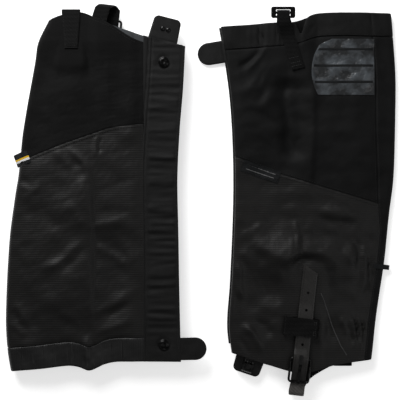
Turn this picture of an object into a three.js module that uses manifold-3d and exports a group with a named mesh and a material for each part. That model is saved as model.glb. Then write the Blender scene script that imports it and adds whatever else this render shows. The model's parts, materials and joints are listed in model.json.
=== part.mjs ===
// A pair of knee-high mountain gaiters, lying flat beside each other.
//
// Millimetres, +Z up. Each gaiter is built in a frame of its own: x runs from the front edge to the
// back edge, y from the foot end up to the calf end, and z from the inner side of the leg (0) to the
// outer side. The left gaiter lies on its inner side. The right gaiter is its mirror image, turned
// end for end, so its inner side faces up.
import * as THREE from 'three';
import { mergeVertices } from 'three/addons/utils/BufferGeometryUtils.js';
import Module from 'manifold-3d';

const wasm = await Module();
wasm.setup();

// ---- Driving sizes ----
const LENGTH = 450;            // foot end to calf end
const WIDTH = 216;             // flat width at the calf
const DEPTH = 15;              // inner side to outer side, lying flat
const PAIR_SPACING = 55.75;    // between the two front edges' datum lines, across the pair
const PAIR_SHIFT = 440;        // foot datum of one gaiter to foot datum of the other, along the pair

const CLOTH = 1.2;             // shell fabric with its lining
const ANKLE_ROWS = 6;          // rows of faces up the ankle and the calf panels
const CALF_ROWS = 6;
const SEAM = 0.3;              // gap where two sewn pieces meet
const HEM_HEIGHT = 30;         // calf hem, folded double over its elastic
const HEM_THICK = 1.8;

const FLAP_REACH = 52;         // hinge line of the front flap, from the front datum
const FLAP_LEVEL = 2.7;        // outer face of the flap
const FLAP_RAMP = 18;          // the inner panel comes down to the ground over this width
const HINGE_PLAY = 0.4;        // from the flap's hinge line to the cloth on each side
const PLACKET_LEVEL = 7.4;     // outer face of the placket under the flap
const PLACKET_SHORT = 2;       // placket stops this far short of the hinge line
const STRIP_NEAR = 14;         // hook and loop strips, from the front datum
const STRIP_FAR = 45;
const STRIP_MARGIN = 14;       // strips stop this far from the snap centres
const HOOK_STRIP = 1.2;
const LOOP_STRIP = 1.4;

const FRONT_FOLD = 3.8;        // half width of the fold at the front edge
const FRONT_INSET = 2;         // fold sits back from the flap's free edge
const BACK_FOLD = 7.5;

const SNAP_X = 27;             // snap centres, from the front datum
const SNAP_FROM_FOOT = 27;     // above the flap's foot edge
const SNAP_FROM_CALF = 21.5;   // below the calf edge
const SNAP_CAP_R = 6.7;
const SNAP_CAP_H = 2.3;
const SNAP_SOCKET_R = 5.4;
const SNAP_SOCKET_H = 1.8;
const SNAP_BALL_R = 2.6;
const SNAP_POST_R = 1.6;

const PULL_LENGTH = 31;
const PULL_HEIGHT = 28;
const PULL_THICK = 1.6;

const HOOK_TAB_WIDTH = 37;
const HOOK_TAB_LENGTH = 28;
const HOOK_TAB_THICK = 1.6;
const HOOK_TAB_LEVEL = 7.2;    // middle of the tab
const HOOK_TAB_X = 28;         // middle of the tab, from the front datum
const HOOK_WIDTH = 13;
const HOOK_SHEET = 1.2;
const HOOK_MOUTH = 5.4;        // room for a boot lace
const HOOK_LIP = 7;
const RIVET_R = 1.4;
const RIVET_HEAD_R = 3;
const RIVET_SPACING = 7;
const RIVET_FROM_ROOT = 13;

const STRAP_WIDTH = 18.5;
const STRAP_THICK = 1.6;
const STRAP_HOLE_R = 1.6;
const STRAP_FIRST_HOLE = 17.5; // from the heel bar
const STRAP_HOLE_STEP = 21.5;
const STRAP_HOLES = 4;
const STRAP_TAIL = 112;        // heel bar to tip
const STRAP_LEAN = -6.5;       // degrees, lean of the buckle and strap towards the back
const BIGHT_DROP = 42;         // heel bar to the centre of the strap's turn under the boot
const BIGHT_R = 4.8;

const FRAME_PLAY = 1.5;        // strap's edge to the buckle frame
const FRAME_REACH = 29.5;      // heel bar to front bar, centre to centre
const FRAME_ROD = 3;
const FRAME_WIDTH = STRAP_WIDTH + 2 * (FRAME_PLAY + FRAME_ROD);
const PRONG_WIDTH = 2.6;
const PRONG_THICK = 1.2;
const TAB_THICK = 1.2;
const TAB_WIDTH = STRAP_WIDTH - 0.5;
const TAB_LENGTH = 27;
const BAR_CLEARANCE = 0.45;
const KEEPER_WIDTH = STRAP_WIDTH + 25.5;
const KEEPER_HEIGHT = 23;
const KEEPER_THICK = 1;
const KEEPER_OFFSET = -4;

const ANCHOR_SHARE = 0.657;    // strap anchor on the inner side, share of the width
const ANCHOR_WIDTH = 23;
const ANCHOR_NARROW = 16;
const ANCHOR_LENGTH = 44;
const ANCHOR_THICK = 1.2;
const ANCHOR_RISE = 1.9;       // the inner panel lifts by this over the anchor
const ANCHOR_FADE = 0.06 * LENGTH; // and comes down over this length, from as far again past its end

const CINCH_WEB = 16;
const CINCH_WEB_THICK = 1.1;
const CINCH_BUCKLE_WIDTH = 30;
const CINCH_BUCKLE_HEIGHT = 14;
const CINCH_BUCKLE_THICK = 3;
const CINCH_CLEAR = 1.1;       // buckle's side to the placket's
const CINCH_X = FLAP_REACH - PLACKET_SHORT + CINCH_CLEAR + CINCH_BUCKLE_WIDTH / 2;
const CINCH_BAR = 2.5;
const CINCH_SLOT = 2.8;
const CINCH_TAIL = 72;
const CINCH_BAR_LIFT = 3.3;    // hinge bar above the outer side
const CINCH_TUCK_PLAY = 2;     // buckle's side to where the drawn-in calf edge starts to rise again
const CINCH_TUCK_RAMP = 14;
// Stations across the outer side, closer together where the drawn-in edge rises.
const OUTER_SHARES = [0, 0.128, 0.166, 0.204, 0.3, 0.387, 0.425, 0.462, 0.7, 0.85, 1];

// How each gaiter lies: its edges, in shares of WIDTH and LENGTH, and where its parts settled.
// heelBarAbove is from the foot edge up to the buckle's heel bar. cinchTuck is how far the cinch draws
// the outer side's calf edge in.
const LEFT_LIE = {
  front: [[0.05, 0], [0.13, -0.016], [0.245, 0], [0.45, 0.018], [0.6, 0.018], [0.755, 0], [0.89, -0.038],
    [0.96, -0.064]],
  back: [[0.034, 0.822], [0.165, 0.854], [0.302, 0.897], [0.436, 0.926], [0.538, 0.952], [0.71, 0.963],
    [0.835, 0.963], [1, 0.937]],
  foot: [[0, 0.055], [0.12, 0.037], [0.213, 0.021], [0.42, -0.002], [0.62, 0.021], [0.82, 0.034]],
  calf: [[-0.065, 0.958], [0.17, 0.967], [0.38, 0.977], [0.52, 0.997], [0.94, 0.998]],
  flapInset: 10,
  pullDrop: 31,
  heelBarShare: 0.407,
  heelBarAbove: 18.6,
  cinchTuck: 0,
};
const RIGHT_LIE = {
  front: [[0.073, 0], [0.194, 0.013], [0.305, 0.032], [0.44, 0.045], [0.58, 0.04], [0.75, 0.034],
    [0.947, 0.025]],
  back: [[0.004, 0.79], [0.064, 0.85], [0.111, 0.868], [0.305, 0.939], [0.424, 0.965], [0.5, 0.99],
    [0.61, 1.019], [0.81, 1.04], [0.897, 1.034], [0.975, 1.011]],
  foot: [[0, 0.073], [0.1, 0.06], [0.232, 0.044], [0.44, 0.01], [0.51, -0.002], [0.6, -0.018],
    [0.715, -0.01], [0.79, 0.004]],
  calf: [[0.025, 0.947], [0.38, 0.947], [0.46, 0.953], [0.55, 0.971], [0.61, 0.962], [0.67, 0.958],
    [0.84, 0.967], [1.01, 0.975]],
  flapInset: 1,
  pullDrop: 16,
  heelBarShare: 0.444,
  heelBarAbove: 24.6,
  cinchTuck: 18,
};
const OUTER_SEAM = [[0.02, 0.6], [0.29, 0.55], [0.42, 0.531], [0.885, 0.464]];
const INNER_SEAM = [[0.27, 0.291], [0.43, 0.301], [0.55, 0.32], [0.7, 0.345], [0.93, 0.389]];
const BACK_STRIP_WIDTH = [[0.39, 10], [0.53, 20], [0.7, 25], [0.93, 26]];

// ---- Materials ----
function paint(color, roughness, metalness = 0) {
  return new THREE.MeshStandardMaterial({ color, roughness, metalness });
}
const SOFTSHELL = paint(0x1c1c1e, 0.85);
const RIPSTOP = paint(0x24221f, 0.8);
const REINFORCED = paint(0x191919, 0.9);
const WEBBING = paint(0x202020, 0.75);
const VELCRO = paint(0x161616, 1);
const COATED_STRAP = paint(0x3a3833, 0.55);
const COATED_TAB = paint(0x262626, 0.5);
const PLASTIC = paint(0x1a1a1a, 0.45);
const DARK_METAL = paint(0x3c3c3e, 0.35, 1);
const STEEL = paint(0x8a8a8c, 0.3, 1);

// ---- Small helpers ----
const vec = (x, y, z) => new THREE.Vector3(x, y, z);
const mix = (a, b, t) => a + (b - a) * t;
const radians = THREE.MathUtils.degToRad;
const smooth = THREE.MathUtils.smoothstep;

// Smooth curve through a few [position, value] pairs, level beyond its ends.
function through(points, scaleIn = 1, scaleOut = 1) {
  const last = points.length - 1;
  const at = points.map(([position]) => position * scaleIn);
  const value = points.map(([, amount]) => amount * scaleOut);
  const slope = (i) => {
    const before = Math.max(i - 1, 0);
    const after = Math.min(i + 1, last);
    return (value[after] - value[before]) / (at[after] - at[before]);
  };
  return (t) => {
    if (t <= at[0]) {
      return value[0];
    }
    if (t >= at[last]) {
      return value[last];
    }
    const i = at.findIndex((edge) => edge > t) - 1;
    const span = at[i + 1] - at[i];
    const s = (t - at[i]) / span;
    const rise = value[i + 1] - value[i];
    const bend = (slope(i) * span - rise) * (1 - s) - (slope(i + 1) * span - rise) * s;
    return value[i] + rise * s + s * (1 - s) * bend;
  };
}

function mesh(name, geometry, material) {
  const piece = new THREE.Mesh(geometry, material);
  piece.name = name;
  return piece;
}

function toSolid(geometry) {
  const bare = geometry.clone();
  bare.deleteAttribute('normal');
  bare.deleteAttribute('uv');
  const merged = mergeVertices(bare, 1e-4);
  return new wasm.Manifold(new wasm.Mesh({
    numProp: 3,
    vertProperties: new Float32Array(merged.attributes.position.array),
    triVerts: new Uint32Array(merged.index.array),
  }));
}

function fromSolid(solid) {
  const result = solid.getMesh();
  const geometry = new THREE.BufferGeometry();
  geometry.setAttribute('position', new THREE.BufferAttribute(result.vertProperties, 3));
  geometry.setIndex(new THREE.BufferAttribute(result.triVerts, 1));
  return geometry;
}

function cut(geometry, cutters) {
  let solid = toSolid(geometry);
  for (const cutter of cutters) {
    solid = solid.subtract(toSolid(cutter));
  }
  return fromSolid(solid);
}

// Closed slab between two skins. grid[row][column] holds { out, inn }, a point of each skin.
function slab(grid) {
  const rows = grid.length;
  const columns = grid[0].length;
  const points = [];
  grid.forEach((row) => row.forEach(({ out }) => points.push(...out.toArray())));
  grid.forEach((row) => row.forEach(({ inn }) => points.push(...inn.toArray())));
  const outAt = (r, c) => r * columns + c;
  const innAt = (r, c) => rows * columns + outAt(r, c);
  const faces = [];
  const quad = (a, b, c, d) => faces.push(a, b, c, a, c, d);
  for (let r = 0; r < rows - 1; r += 1) {
    for (let c = 0; c < columns - 1; c += 1) {
      quad(outAt(r, c), outAt(r, c + 1), outAt(r + 1, c + 1), outAt(r + 1, c));
      quad(innAt(r, c), innAt(r + 1, c), innAt(r + 1, c + 1), innAt(r, c + 1));
    }
    quad(outAt(r, 0), outAt(r + 1, 0), innAt(r + 1, 0), innAt(r, 0));
    quad(outAt(r, columns - 1), innAt(r, columns - 1), innAt(r + 1, columns - 1), outAt(r + 1, columns - 1));
  }
  for (let c = 0; c < columns - 1; c += 1) {
    quad(outAt(0, c), innAt(0, c), innAt(0, c + 1), outAt(0, c + 1));
    quad(outAt(rows - 1, c), outAt(rows - 1, c + 1), innAt(rows - 1, c + 1), innAt(rows - 1, c));
  }
  if (volume(points, faces) < 0) {
    faces.reverse();
  }
  const geometry = new THREE.BufferGeometry();
  geometry.setAttribute('position', new THREE.Float32BufferAttribute(points, 3));
  geometry.setIndex(faces);
  return geometry;
}

function volume(points, faces) {
  const corner = (i) => vec(points[3 * i], points[3 * i + 1], points[3 * i + 2]);
  let total = 0;
  for (let i = 0; i < faces.length; i += 3) {
    total += corner(faces[i]).dot(corner(faces[i + 1]).cross(corner(faces[i + 2])));
  }
  return total;
}

// Flat band along stations of { centre, half }, half being the vector to one of its edges.
function ribbon(stations, thickness) {
  const last = stations.length - 1;
  return slab(stations.map(({ centre, half }, i) => {
    const before = stations[Math.max(i - 1, 0)].centre;
    const after = stations[Math.min(i + 1, last)].centre;
    const along = after.clone().sub(before);
    const up = half.clone().cross(along).setLength(thickness / 2);
    return [-1, 1].map((side) => {
      const edge = centre.clone().addScaledVector(half, side);
      return { out: edge.clone().add(up), inn: edge.clone().sub(up) };
    });
  }));
}

// Solid of revolution about +Z from [radius, height] pairs.
function turned(profile, segments = 10) {
  const points = profile.map(([radius, height]) => new THREE.Vector2(radius, height));
  return new THREE.LatheGeometry(points, segments).rotateX(Math.PI / 2);
}

// Plate or prism drawn in x and y, from the level z upwards.
function prism(shape, z, depth, curveSegments = 5) {
  return new THREE.ExtrudeGeometry(shape, { depth, bevelEnabled: false, curveSegments }).translate(0, 0, z);
}

// Profile drawn in y and z, extruded along x and centred on x = 0.
function barOf(shape, width) {
  const solid = new THREE.ExtrudeGeometry(shape, { depth: width, bevelEnabled: false, curveSegments: 8 });
  const turn = new THREE.Matrix4().makeBasis(vec(0, 1, 0), vec(0, 0, 1), vec(1, 0, 0));
  return solid.translate(0, 0, -width / 2).applyMatrix4(turn);
}

function pin(x, y, radius) {
  return new THREE.CylinderGeometry(radius, radius, 4 * DEPTH, 10).rotateX(Math.PI / 2).translate(x, y, 0);
}

function roundedRect(path, left, bottom, right, top, radius) {
  path.moveTo(left + radius, bottom);
  path.lineTo(right - radius, bottom);
  path.absarc(right - radius, bottom + radius, radius, -Math.PI / 2, 0);
  path.lineTo(right, top - radius);
  path.absarc(right - radius, top - radius, radius, 0, Math.PI / 2);
  path.lineTo(left + radius, top);
  path.absarc(left + radius, top - radius, radius, Math.PI / 2, Math.PI);
  path.lineTo(left, bottom + radius);
  path.absarc(left + radius, bottom + radius, radius, Math.PI, 1.5 * Math.PI);
  return path;
}

// Group on a hinge axis; userData.axis is the axis in the group's own frame.
function hinge(name, position, tilt, axis) {
  const group = new THREE.Group();
  group.name = name;
  group.position.copy(position);
  group.rotation.z = tilt;
  group.userData.axis = axis;
  return group;
}

// ---- The leg tube ----
function edgesOf(lie) {
  const calf = through(lie.calf, WIDTH, LENGTH);
  return {
    front: through(lie.front, LENGTH, WIDTH),
    back: through(lie.back, LENGTH, WIDTH),
    foot: through(lie.foot, WIDTH, LENGTH),
    calf,
    outerCalf: (x) => calf(x) - lie.cinchTuck * tuckShare(x),
  };
}

// 1 under the cinch buckle, 0 away from it.
function tuckShare(x) {
  const away = Math.abs(x - CINCH_X);
  const start = CINCH_BUCKLE_WIDTH / 2 + CINCH_TUCK_PLAY;
  return 1 - smooth(away, start, start + CINCH_TUCK_RAMP);
}

// Height of the inner side's outer face: it meets the flap at the hinge line, lies on the ground
// elsewhere, and lifts over the strap anchor at the foot end.
function innerLevel(edges, x, y) {
  const ramp = FLAP_LEVEL * (1 - smooth(x, FLAP_REACH, FLAP_REACH + FLAP_RAMP));
  const anchorEdge = ANCHOR_SHARE * WIDTH - ANCHOR_WIDTH / 2;
  const fadeFrom = edges.foot(ANCHOR_SHARE * WIDTH) + ANCHOR_LENGTH + ANCHOR_FADE;
  const lift = smooth(x, anchorEdge - 22, anchorEdge - 8) * (1 - smooth(y, fadeFrom, fadeFrom + ANCHOR_FADE));
  return Math.max(ramp, ANCHOR_RISE * lift);
}

// A station gives the point of the tube's section at height y, depth below its outer face.
const outerStation = (xAt) => (y, depth) => [xAt(y), DEPTH - depth];

function innerStation(edges, xAt) {
  return (y, depth) => [xAt(y), innerLevel(edges, xAt(y), y) + depth];
}

function backStation(edges, turn) {
  return (y, depth) => {
    const rim = edges.back(y) - BACK_FOLD;
    const low = innerLevel(edges, rim, y);
    const halfHeight = (DEPTH - low) / 2;
    const x = rim + (BACK_FOLD - depth) * Math.sin(turn);
    return [x, low + halfHeight + (halfHeight - depth) * Math.cos(turn)];
  };
}

function frontStation(edges, turn) {
  return (y, depth) => {
    const halfHeight = (DEPTH - PLACKET_LEVEL) / 2;
    const x = edges.front(y) + FRONT_INSET + FRONT_FOLD - (FRONT_FOLD - depth) * Math.sin(turn);
    return [x, PLACKET_LEVEL + halfHeight + (halfHeight - depth) * Math.cos(turn)];
  };
}

function across(station, from, to, steps) {
  return Array.from({ length: steps + 1 }, (_, i) => station((y) => mix(from(y), to(y), i / steps)));
}

function round(stationAt, from, to, steps) {
  return Array.from({ length: steps + 1 }, (_, i) => stationAt(mix(from, to, i / steps)));
}

// Piece of the tube's wall over its stations. It runs up the leg through the curves (x, share) => y,
// share being 0 at the first station and 1 at the last, with rows[i] rows from curve i to the next.
function wall(stations, curves, rows, thickness) {
  const last = stations.length - 1;
  const rowAt = (band, part) => stations.map((station, i) => {
    let y = LENGTH / 2;
    for (let pass = 0; pass < 8; pass += 1) {
      const [x] = station(y, 0);
      y = mix(curves[band](x, i / last), curves[band + 1](x, i / last), part);
    }
    const [xOut, zOut] = station(y, 0);
    const [xIn, zIn] = station(y, thickness);
    return { out: vec(xOut, y, zOut), inn: vec(xIn, y, zIn) };
  });
  const grid = [rowAt(0, 0)];
  rows.forEach((count, band) => {
    for (let r = 1; r <= count; r += 1) {
      grid.push(rowAt(band, r / count));
    }
  });
  return slab(grid);
}

function legTube(side, edges) {
  const frontRim = (y) => edges.front(y) + FRONT_INSET + FRONT_FOLD;
  const backRim = (y) => edges.back(y) - BACK_FOLD;
  const stripWidth = through(BACK_STRIP_WIDTH, LENGTH);
  const backSeam = (y) => edges.back(y) - stripWidth(y);
  const hingeEdge = () => FLAP_REACH + HINGE_PLAY;
  const outerSeam = through(OUTER_SEAM, WIDTH, LENGTH);
  const innerSeam = through(INNER_SEAM, WIDTH, LENGTH);
  const above = (curve, gap) => (x) => curve(x) + gap;
  const hemEdge = (x) => edges.calf(x) - HEM_HEIGHT;
  const underHem = above(hemEdge, -SEAM);
  const backSide = (x, share) => mix(outerSeam(x), innerSeam(x), share);

  const outerPath = [
    ...round((turn) => frontStation(edges, turn), Math.PI, 0, 6).slice(0, -1),
    ...OUTER_SHARES.map((t) => outerStation((y) => mix(frontRim(y), backSeam(y) - SEAM, t))),
  ];
  const innerPath = across((xAt) => innerStation(edges, xAt), hingeEdge, (y) => backRim(y) - SEAM, 8);
  const backPath = [outerStation(backSeam), ...round((turn) => backStation(edges, turn), 0, Math.PI, 7)];
  const hemPath = [...innerPath, ...[...outerPath, ...backPath].reverse()];
  const outerFrom = (innerPath.length + backPath.length - 0.5) / (hemPath.length - 1);
  const hemTop = (x, share) => (share > outerFrom ? edges.outerCalf(x) : edges.calf(x));
  const outerCalf = wall(outerPath, [above(outerSeam, SEAM), underHem], [CALF_ROWS], CLOTH);
  const outerAnkle = wall(outerPath, [edges.foot, outerSeam], [ANKLE_ROWS], CLOTH);
  const innerCalf = wall(innerPath, [above(innerSeam, SEAM), underHem], [CALF_ROWS], CLOTH);
  const innerAnkle = wall(innerPath, [edges.foot, innerSeam], [ANKLE_ROWS], CLOTH);
  const back = wall(backPath, [edges.foot, backSide, underHem], [ANKLE_ROWS, CALF_ROWS], CLOTH);
  return [
    mesh(`${side}_outer_calf_panel`, outerCalf, SOFTSHELL),
    mesh(`${side}_outer_ankle_panel`, outerAnkle, RIPSTOP),
    mesh(`${side}_inner_calf_panel`, innerCalf, RIPSTOP),
    mesh(`${side}_inner_ankle_panel`, innerAnkle, REINFORCED),
    mesh(`${side}_back_strip`, back, SOFTSHELL),
    mesh(`${side}_calf_hem`, wall(hemPath, [hemEdge, hemTop], [1], HEM_THICK), SOFTSHELL),
  ];
}

// ---- Front closure ----
function snapCentres(lie, edges) {
  return {
    lower: edges.foot(SNAP_X) + lie.flapInset + SNAP_FROM_FOOT,
    upper: edges.calf(SNAP_X) - SNAP_FROM_CALF,
  };
}

function strip(name, near, far, low, high, level, thickness, material) {
  const stations = across((xAt) => (y, depth) => [xAt(y), level + depth], near, far, 1);
  return mesh(name, wall(stations, [low, high], [ANKLE_ROWS + CALF_ROWS], thickness), material);
}

function placket(side, lie, edges) {
  const near = (y) => edges.front(y) + FRONT_INSET + FRONT_FOLD + 2 * SEAM;
  const far = () => FLAP_REACH - PLACKET_SHORT;
  const low = (x) => edges.foot(x) + lie.flapInset;
  const band = strip(`${side}_front_placket`, near, far, low, edges.calf, PLACKET_LEVEL, CLOTH, REINFORCED);
  const { lower, upper } = snapCentres(lie, edges);
  const holeR = SNAP_POST_R + SEAM;
  band.geometry = cut(band.geometry, [pin(SNAP_X, lower, holeR), pin(SNAP_X, upper, holeR)]);
  return band;
}

function snapCap() {
  const rim = SNAP_CAP_R;
  const face = FLAP_LEVEL - SEAM;
  const crown = face - SNAP_CAP_H;
  const postEnd = FLAP_LEVEL + CLOTH + SNAP_SOCKET_H / 2;
  return turned([[0, crown], [rim * 0.5, crown + 0.3], [rim * 0.85, crown + 1], [rim, face - 0.5],
    [rim, face], [SNAP_POST_R, face], [SNAP_POST_R, postEnd], [0, postEnd]]);
}

function snapSocket() {
  const base = FLAP_LEVEL + CLOTH + SEAM;
  const top = base + SNAP_SOCKET_H;
  const shelf = base + SNAP_SOCKET_H / 2;
  return turned([[SNAP_POST_R + SEAM, base], [SNAP_SOCKET_R, base], [SNAP_SOCKET_R, top - 0.4],
    [SNAP_SOCKET_R - 0.4, top], [SNAP_BALL_R + SEAM, top], [SNAP_BALL_R + SEAM, shelf],
    [SNAP_POST_R + SEAM, shelf], [SNAP_POST_R + SEAM, base]]);
}

function snapStud() {
  const socketTop = FLAP_LEVEL + CLOTH + SEAM + SNAP_SOCKET_H;
  const flange = socketTop + SEAM;
  const back = PLACKET_LEVEL - SEAM;
  const inside = PLACKET_LEVEL + CLOTH + SEAM;
  const eyeletR = SNAP_SOCKET_R - 0.6;
  const eyeletTop = inside + 0.8;
  return turned([[0, socketTop - 0.7], [SNAP_BALL_R - 0.4, socketTop - 0.7], [SNAP_BALL_R, socketTop - 0.3],
    [SNAP_BALL_R - 0.3, flange], [SNAP_SOCKET_R, flange], [SNAP_SOCKET_R, back], [SNAP_POST_R, back],
    [SNAP_POST_R, inside], [eyeletR, inside], [eyeletR, eyeletTop], [0, eyeletTop]]);
}

function loopStrip(side, lie, edges) {
  const { lower, upper } = snapCentres(lie, edges);
  const level = PLACKET_LEVEL - SEAM - LOOP_STRIP;
  return strip(`${side}_loop_strip`, () => STRIP_NEAR, () => STRIP_FAR, () => lower + STRIP_MARGIN,
    () => upper - STRIP_MARGIN, level, LOOP_STRIP, VELCRO);
}

// The flap swings on its sewn edge with the snap caps, sockets, hook strip and pull tab.
function frontFlap(side, lie, edges) {
  const swing = hinge(`${side}_front_flap_hinge`, vec(FLAP_REACH, LENGTH / 2, FLAP_LEVEL), 0, [0, -1, 0]);
  const parts = new THREE.Group();
  parts.position.set(-FLAP_REACH, -LENGTH / 2, -FLAP_LEVEL);
  swing.add(parts);
  const low = (x) => edges.foot(x) + lie.flapInset;
  const root = () => FLAP_REACH - HINGE_PLAY;
  const flap = strip(`${side}_front_flap`, edges.front, root, low, edges.calf, FLAP_LEVEL, CLOTH, REINFORCED);
  const { lower, upper } = snapCentres(lie, edges);
  const holeR = SNAP_POST_R + SEAM;
  flap.geometry = cut(flap.geometry, [pin(SNAP_X, lower, holeR), pin(SNAP_X, upper, holeR)]);
  const hookLevel = FLAP_LEVEL + CLOTH + SEAM;
  parts.add(flap, strip(`${side}_hook_strip`, () => STRIP_NEAR, () => STRIP_FAR, () => lower + STRIP_MARGIN,
    () => upper - STRIP_MARGIN, hookLevel, HOOK_STRIP, VELCRO));
  for (const [name, height] of Object.entries({ lower, upper })) {
    const cap = mesh(`${side}_${name}_snap_cap`, snapCap(), DARK_METAL);
    const socket = mesh(`${side}_${name}_snap_socket`, snapSocket(), DARK_METAL);
    cap.position.set(SNAP_X, height, 0);
    socket.position.set(SNAP_X, height, 0);
    parts.add(cap, socket);
  }
  parts.add(pullTab(side, lie, edges));
  return swing;
}

function studs(side, lie, edges) {
  return Object.entries(snapCentres(lie, edges)).map(([name, height]) => {
    const stud = mesh(`${side}_${name}_snap_stud`, snapStud(), DARK_METAL);
    stud.position.set(SNAP_X, height, 0);
    return stud;
  });
}

function pullTab(side, lie, edges) {
  const middle = edges.calf(0) - lie.pullDrop;
  const low = middle - PULL_HEIGHT / 2;
  const high = middle + PULL_HEIGHT / 2;
  const lean = Math.atan2(edges.front(low) - edges.front(high), PULL_HEIGHT);
  const root = PULL_THICK / 2 + HINGE_PLAY;
  const x = (edges.front(low) + edges.front(high)) / 2 - root;
  const swing = hinge(`${side}_pull_tab_hinge`, vec(x, middle, FLAP_LEVEL + PULL_THICK / 2), lean, [0, 1, 0]);
  const radius = PULL_HEIGHT / 2;
  const shape = new THREE.Shape();
  shape.moveTo(0, -radius);
  shape.lineTo(0, radius);
  shape.lineTo(radius - PULL_LENGTH, radius);
  shape.absarc(radius - PULL_LENGTH, 0, radius, Math.PI / 2, 1.5 * Math.PI);
  swing.add(mesh(`${side}_pull_tab`, prism(shape, -PULL_THICK / 2, PULL_THICK), COATED_TAB));
  return swing;
}

// ---- Lace hook at the foot of the front edge ----
function hookTab(side, lie, edges) {
  const half = HOOK_TAB_WIDTH / 2;
  const near = edges.foot(HOOK_TAB_X - half) + lie.flapInset;
  const far = edges.foot(HOOK_TAB_X + half) + lie.flapInset;
  const lean = Math.atan2(far - near, HOOK_TAB_WIDTH);
  const middle = vec(HOOK_TAB_X, (near + far) / 2 - HOOK_TAB_THICK, HOOK_TAB_LEVEL);
  const swing = hinge(`${side}_hook_tab_hinge`, middle, lean, [1, 0, 0]);
  const rivets = [-RIVET_SPACING / 2, RIVET_SPACING / 2];
  const holes = rivets.map((x) => pin(x, -RIVET_FROM_ROOT, RIVET_R + SEAM));
  const plate = prism(hookTabShape(), -HOOK_TAB_THICK / 2, HOOK_TAB_THICK);
  swing.add(mesh(`${side}_hook_tab`, cut(plate, holes), COATED_TAB));
  swing.add(mesh(`${side}_lace_hook`, cut(laceHook(), holes), STEEL));
  ['front', 'rear'].forEach((name, i) => {
    const rivet = mesh(`${side}_hook_rivet_${name}`, hookRivet(), STEEL);
    rivet.position.set(rivets[i], -RIVET_FROM_ROOT, 0);
    swing.add(rivet);
  });
  return swing;
}

function hookTabShape() {
  const corner = 6;
  const low = corner - HOOK_TAB_LENGTH;
  const root = HOOK_TAB_WIDTH / 2;
  const end = root - 1.5;
  const shape = new THREE.Shape();
  shape.moveTo(-root, 0);
  shape.lineTo(-end, low);
  shape.absarc(corner - end, low, corner, Math.PI, 1.5 * Math.PI);
  shape.absarc(end - corner, low, corner, 1.5 * Math.PI, 2 * Math.PI);
  shape.lineTo(root, 0);
  return shape;
}

// Bent sheet: a plate under the rivets, a turn outwards and a short lip that points up the leg.
function laceHook() {
  const base = HOOK_TAB_THICK / 2 + SEAM;
  const inner = HOOK_MOUTH / 2;
  const outer = inner + HOOK_SHEET;
  const turnY = 3 - HOOK_TAB_LENGTH + outer;
  const plateTop = HOOK_WIDTH / 2 - RIVET_FROM_ROOT;
  const lipTop = turnY + HOOK_LIP;
  const middle = base + HOOK_SHEET + inner;
  const shape = new THREE.Shape();
  shape.moveTo(plateTop, base);
  shape.lineTo(plateTop, base + HOOK_SHEET);
  shape.lineTo(turnY, base + HOOK_SHEET);
  shape.absarc(turnY, middle, inner, 1.5 * Math.PI, Math.PI / 2, true);
  shape.lineTo(lipTop, middle + inner);
  shape.lineTo(lipTop, middle + outer);
  shape.lineTo(turnY, middle + outer);
  shape.absarc(turnY, middle, outer, Math.PI / 2, 1.5 * Math.PI, false);
  return barOf(shape, HOOK_WIDTH);
}

function hookRivet() {
  const face = -HOOK_TAB_THICK / 2 - SEAM;
  const back = HOOK_TAB_THICK / 2 + HOOK_SHEET + 2 * SEAM;
  const tailR = RIVET_R + 0.9;
  const tailEnd = back + 0.7;
  return turned([[0, face - 1.5], [RIVET_HEAD_R * 0.6, face - 1.2], [RIVET_HEAD_R, face - 0.3],
    [RIVET_HEAD_R, face], [RIVET_R, face], [RIVET_R, back], [tailR, back], [tailR, tailEnd], [0, tailEnd]]);
}

// ---- Instep strap and its buckle, in a frame on the heel bar ----
// Heights here are measured from the middle of the heel bar.
const BAR_ROOM = FRAME_ROD / 2 + BAR_CLEARANCE;
const TAB_BOTTOM = -BAR_ROOM - TAB_THICK;
const HEEL_HEIGHT = SEAM - TAB_BOTTOM;
const STRAP_OVER_BAR = BAR_ROOM + TAB_THICK + SEAM + STRAP_THICK / 2;
const STRAP_OVER_TAB = TAB_BOTTOM + 2 * TAB_THICK + 2 * SEAM + STRAP_THICK / 2;
const STRAP_ON_CLOTH = TAB_BOTTOM + STRAP_THICK / 2;
const STRAP_UNDER_BAR = -FRAME_ROD / 2 - SEAM - STRAP_THICK / 2;

// The strap's outer leg: from its tip down over the keeper's lining and the heel bar, under the front bar.
function strapOuterLeg() {
  const half = vec(STRAP_WIDTH / 2, 0, 0);
  const keeperEnd = TAB_LENGTH + KEEPER_HEIGHT;
  const level = through([[-FRAME_REACH - 4, STRAP_UNDER_BAR], [-FRAME_REACH + 2, STRAP_UNDER_BAR],
    [-4, STRAP_OVER_BAR], [3, STRAP_OVER_BAR], [14, STRAP_OVER_TAB], [keeperEnd + 2, STRAP_OVER_TAB],
    [keeperEnd + 20, STRAP_ON_CLOTH], [STRAP_TAIL, STRAP_ON_CLOTH]]);
  const heights = [100, 70, 62, 54, 48, 30, 14, 11, 7, 3, -4, -8, -14, -20, -25, -FRAME_REACH, -BIGHT_DROP];
  const tip = { centre: vec(0, STRAP_TAIL, STRAP_ON_CLOTH), half: vec(STRAP_WIDTH / 2, -5, 0) };
  return [tip, ...heights.map((y) => ({ centre: vec(0, y, level(y)), half }))];
}

function strapTurn() {
  const turns = 7;
  return Array.from({ length: turns }, (_, i) => {
    const turn = Math.PI * (i + 1) / turns;
    const y = -BIGHT_DROP - BIGHT_R * Math.sin(turn);
    const z = STRAP_UNDER_BAR - BIGHT_R * (1 - Math.cos(turn));
    return { centre: vec(0, y, z), half: vec(STRAP_WIDTH / 2, 0, 0) };
  });
}

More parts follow.
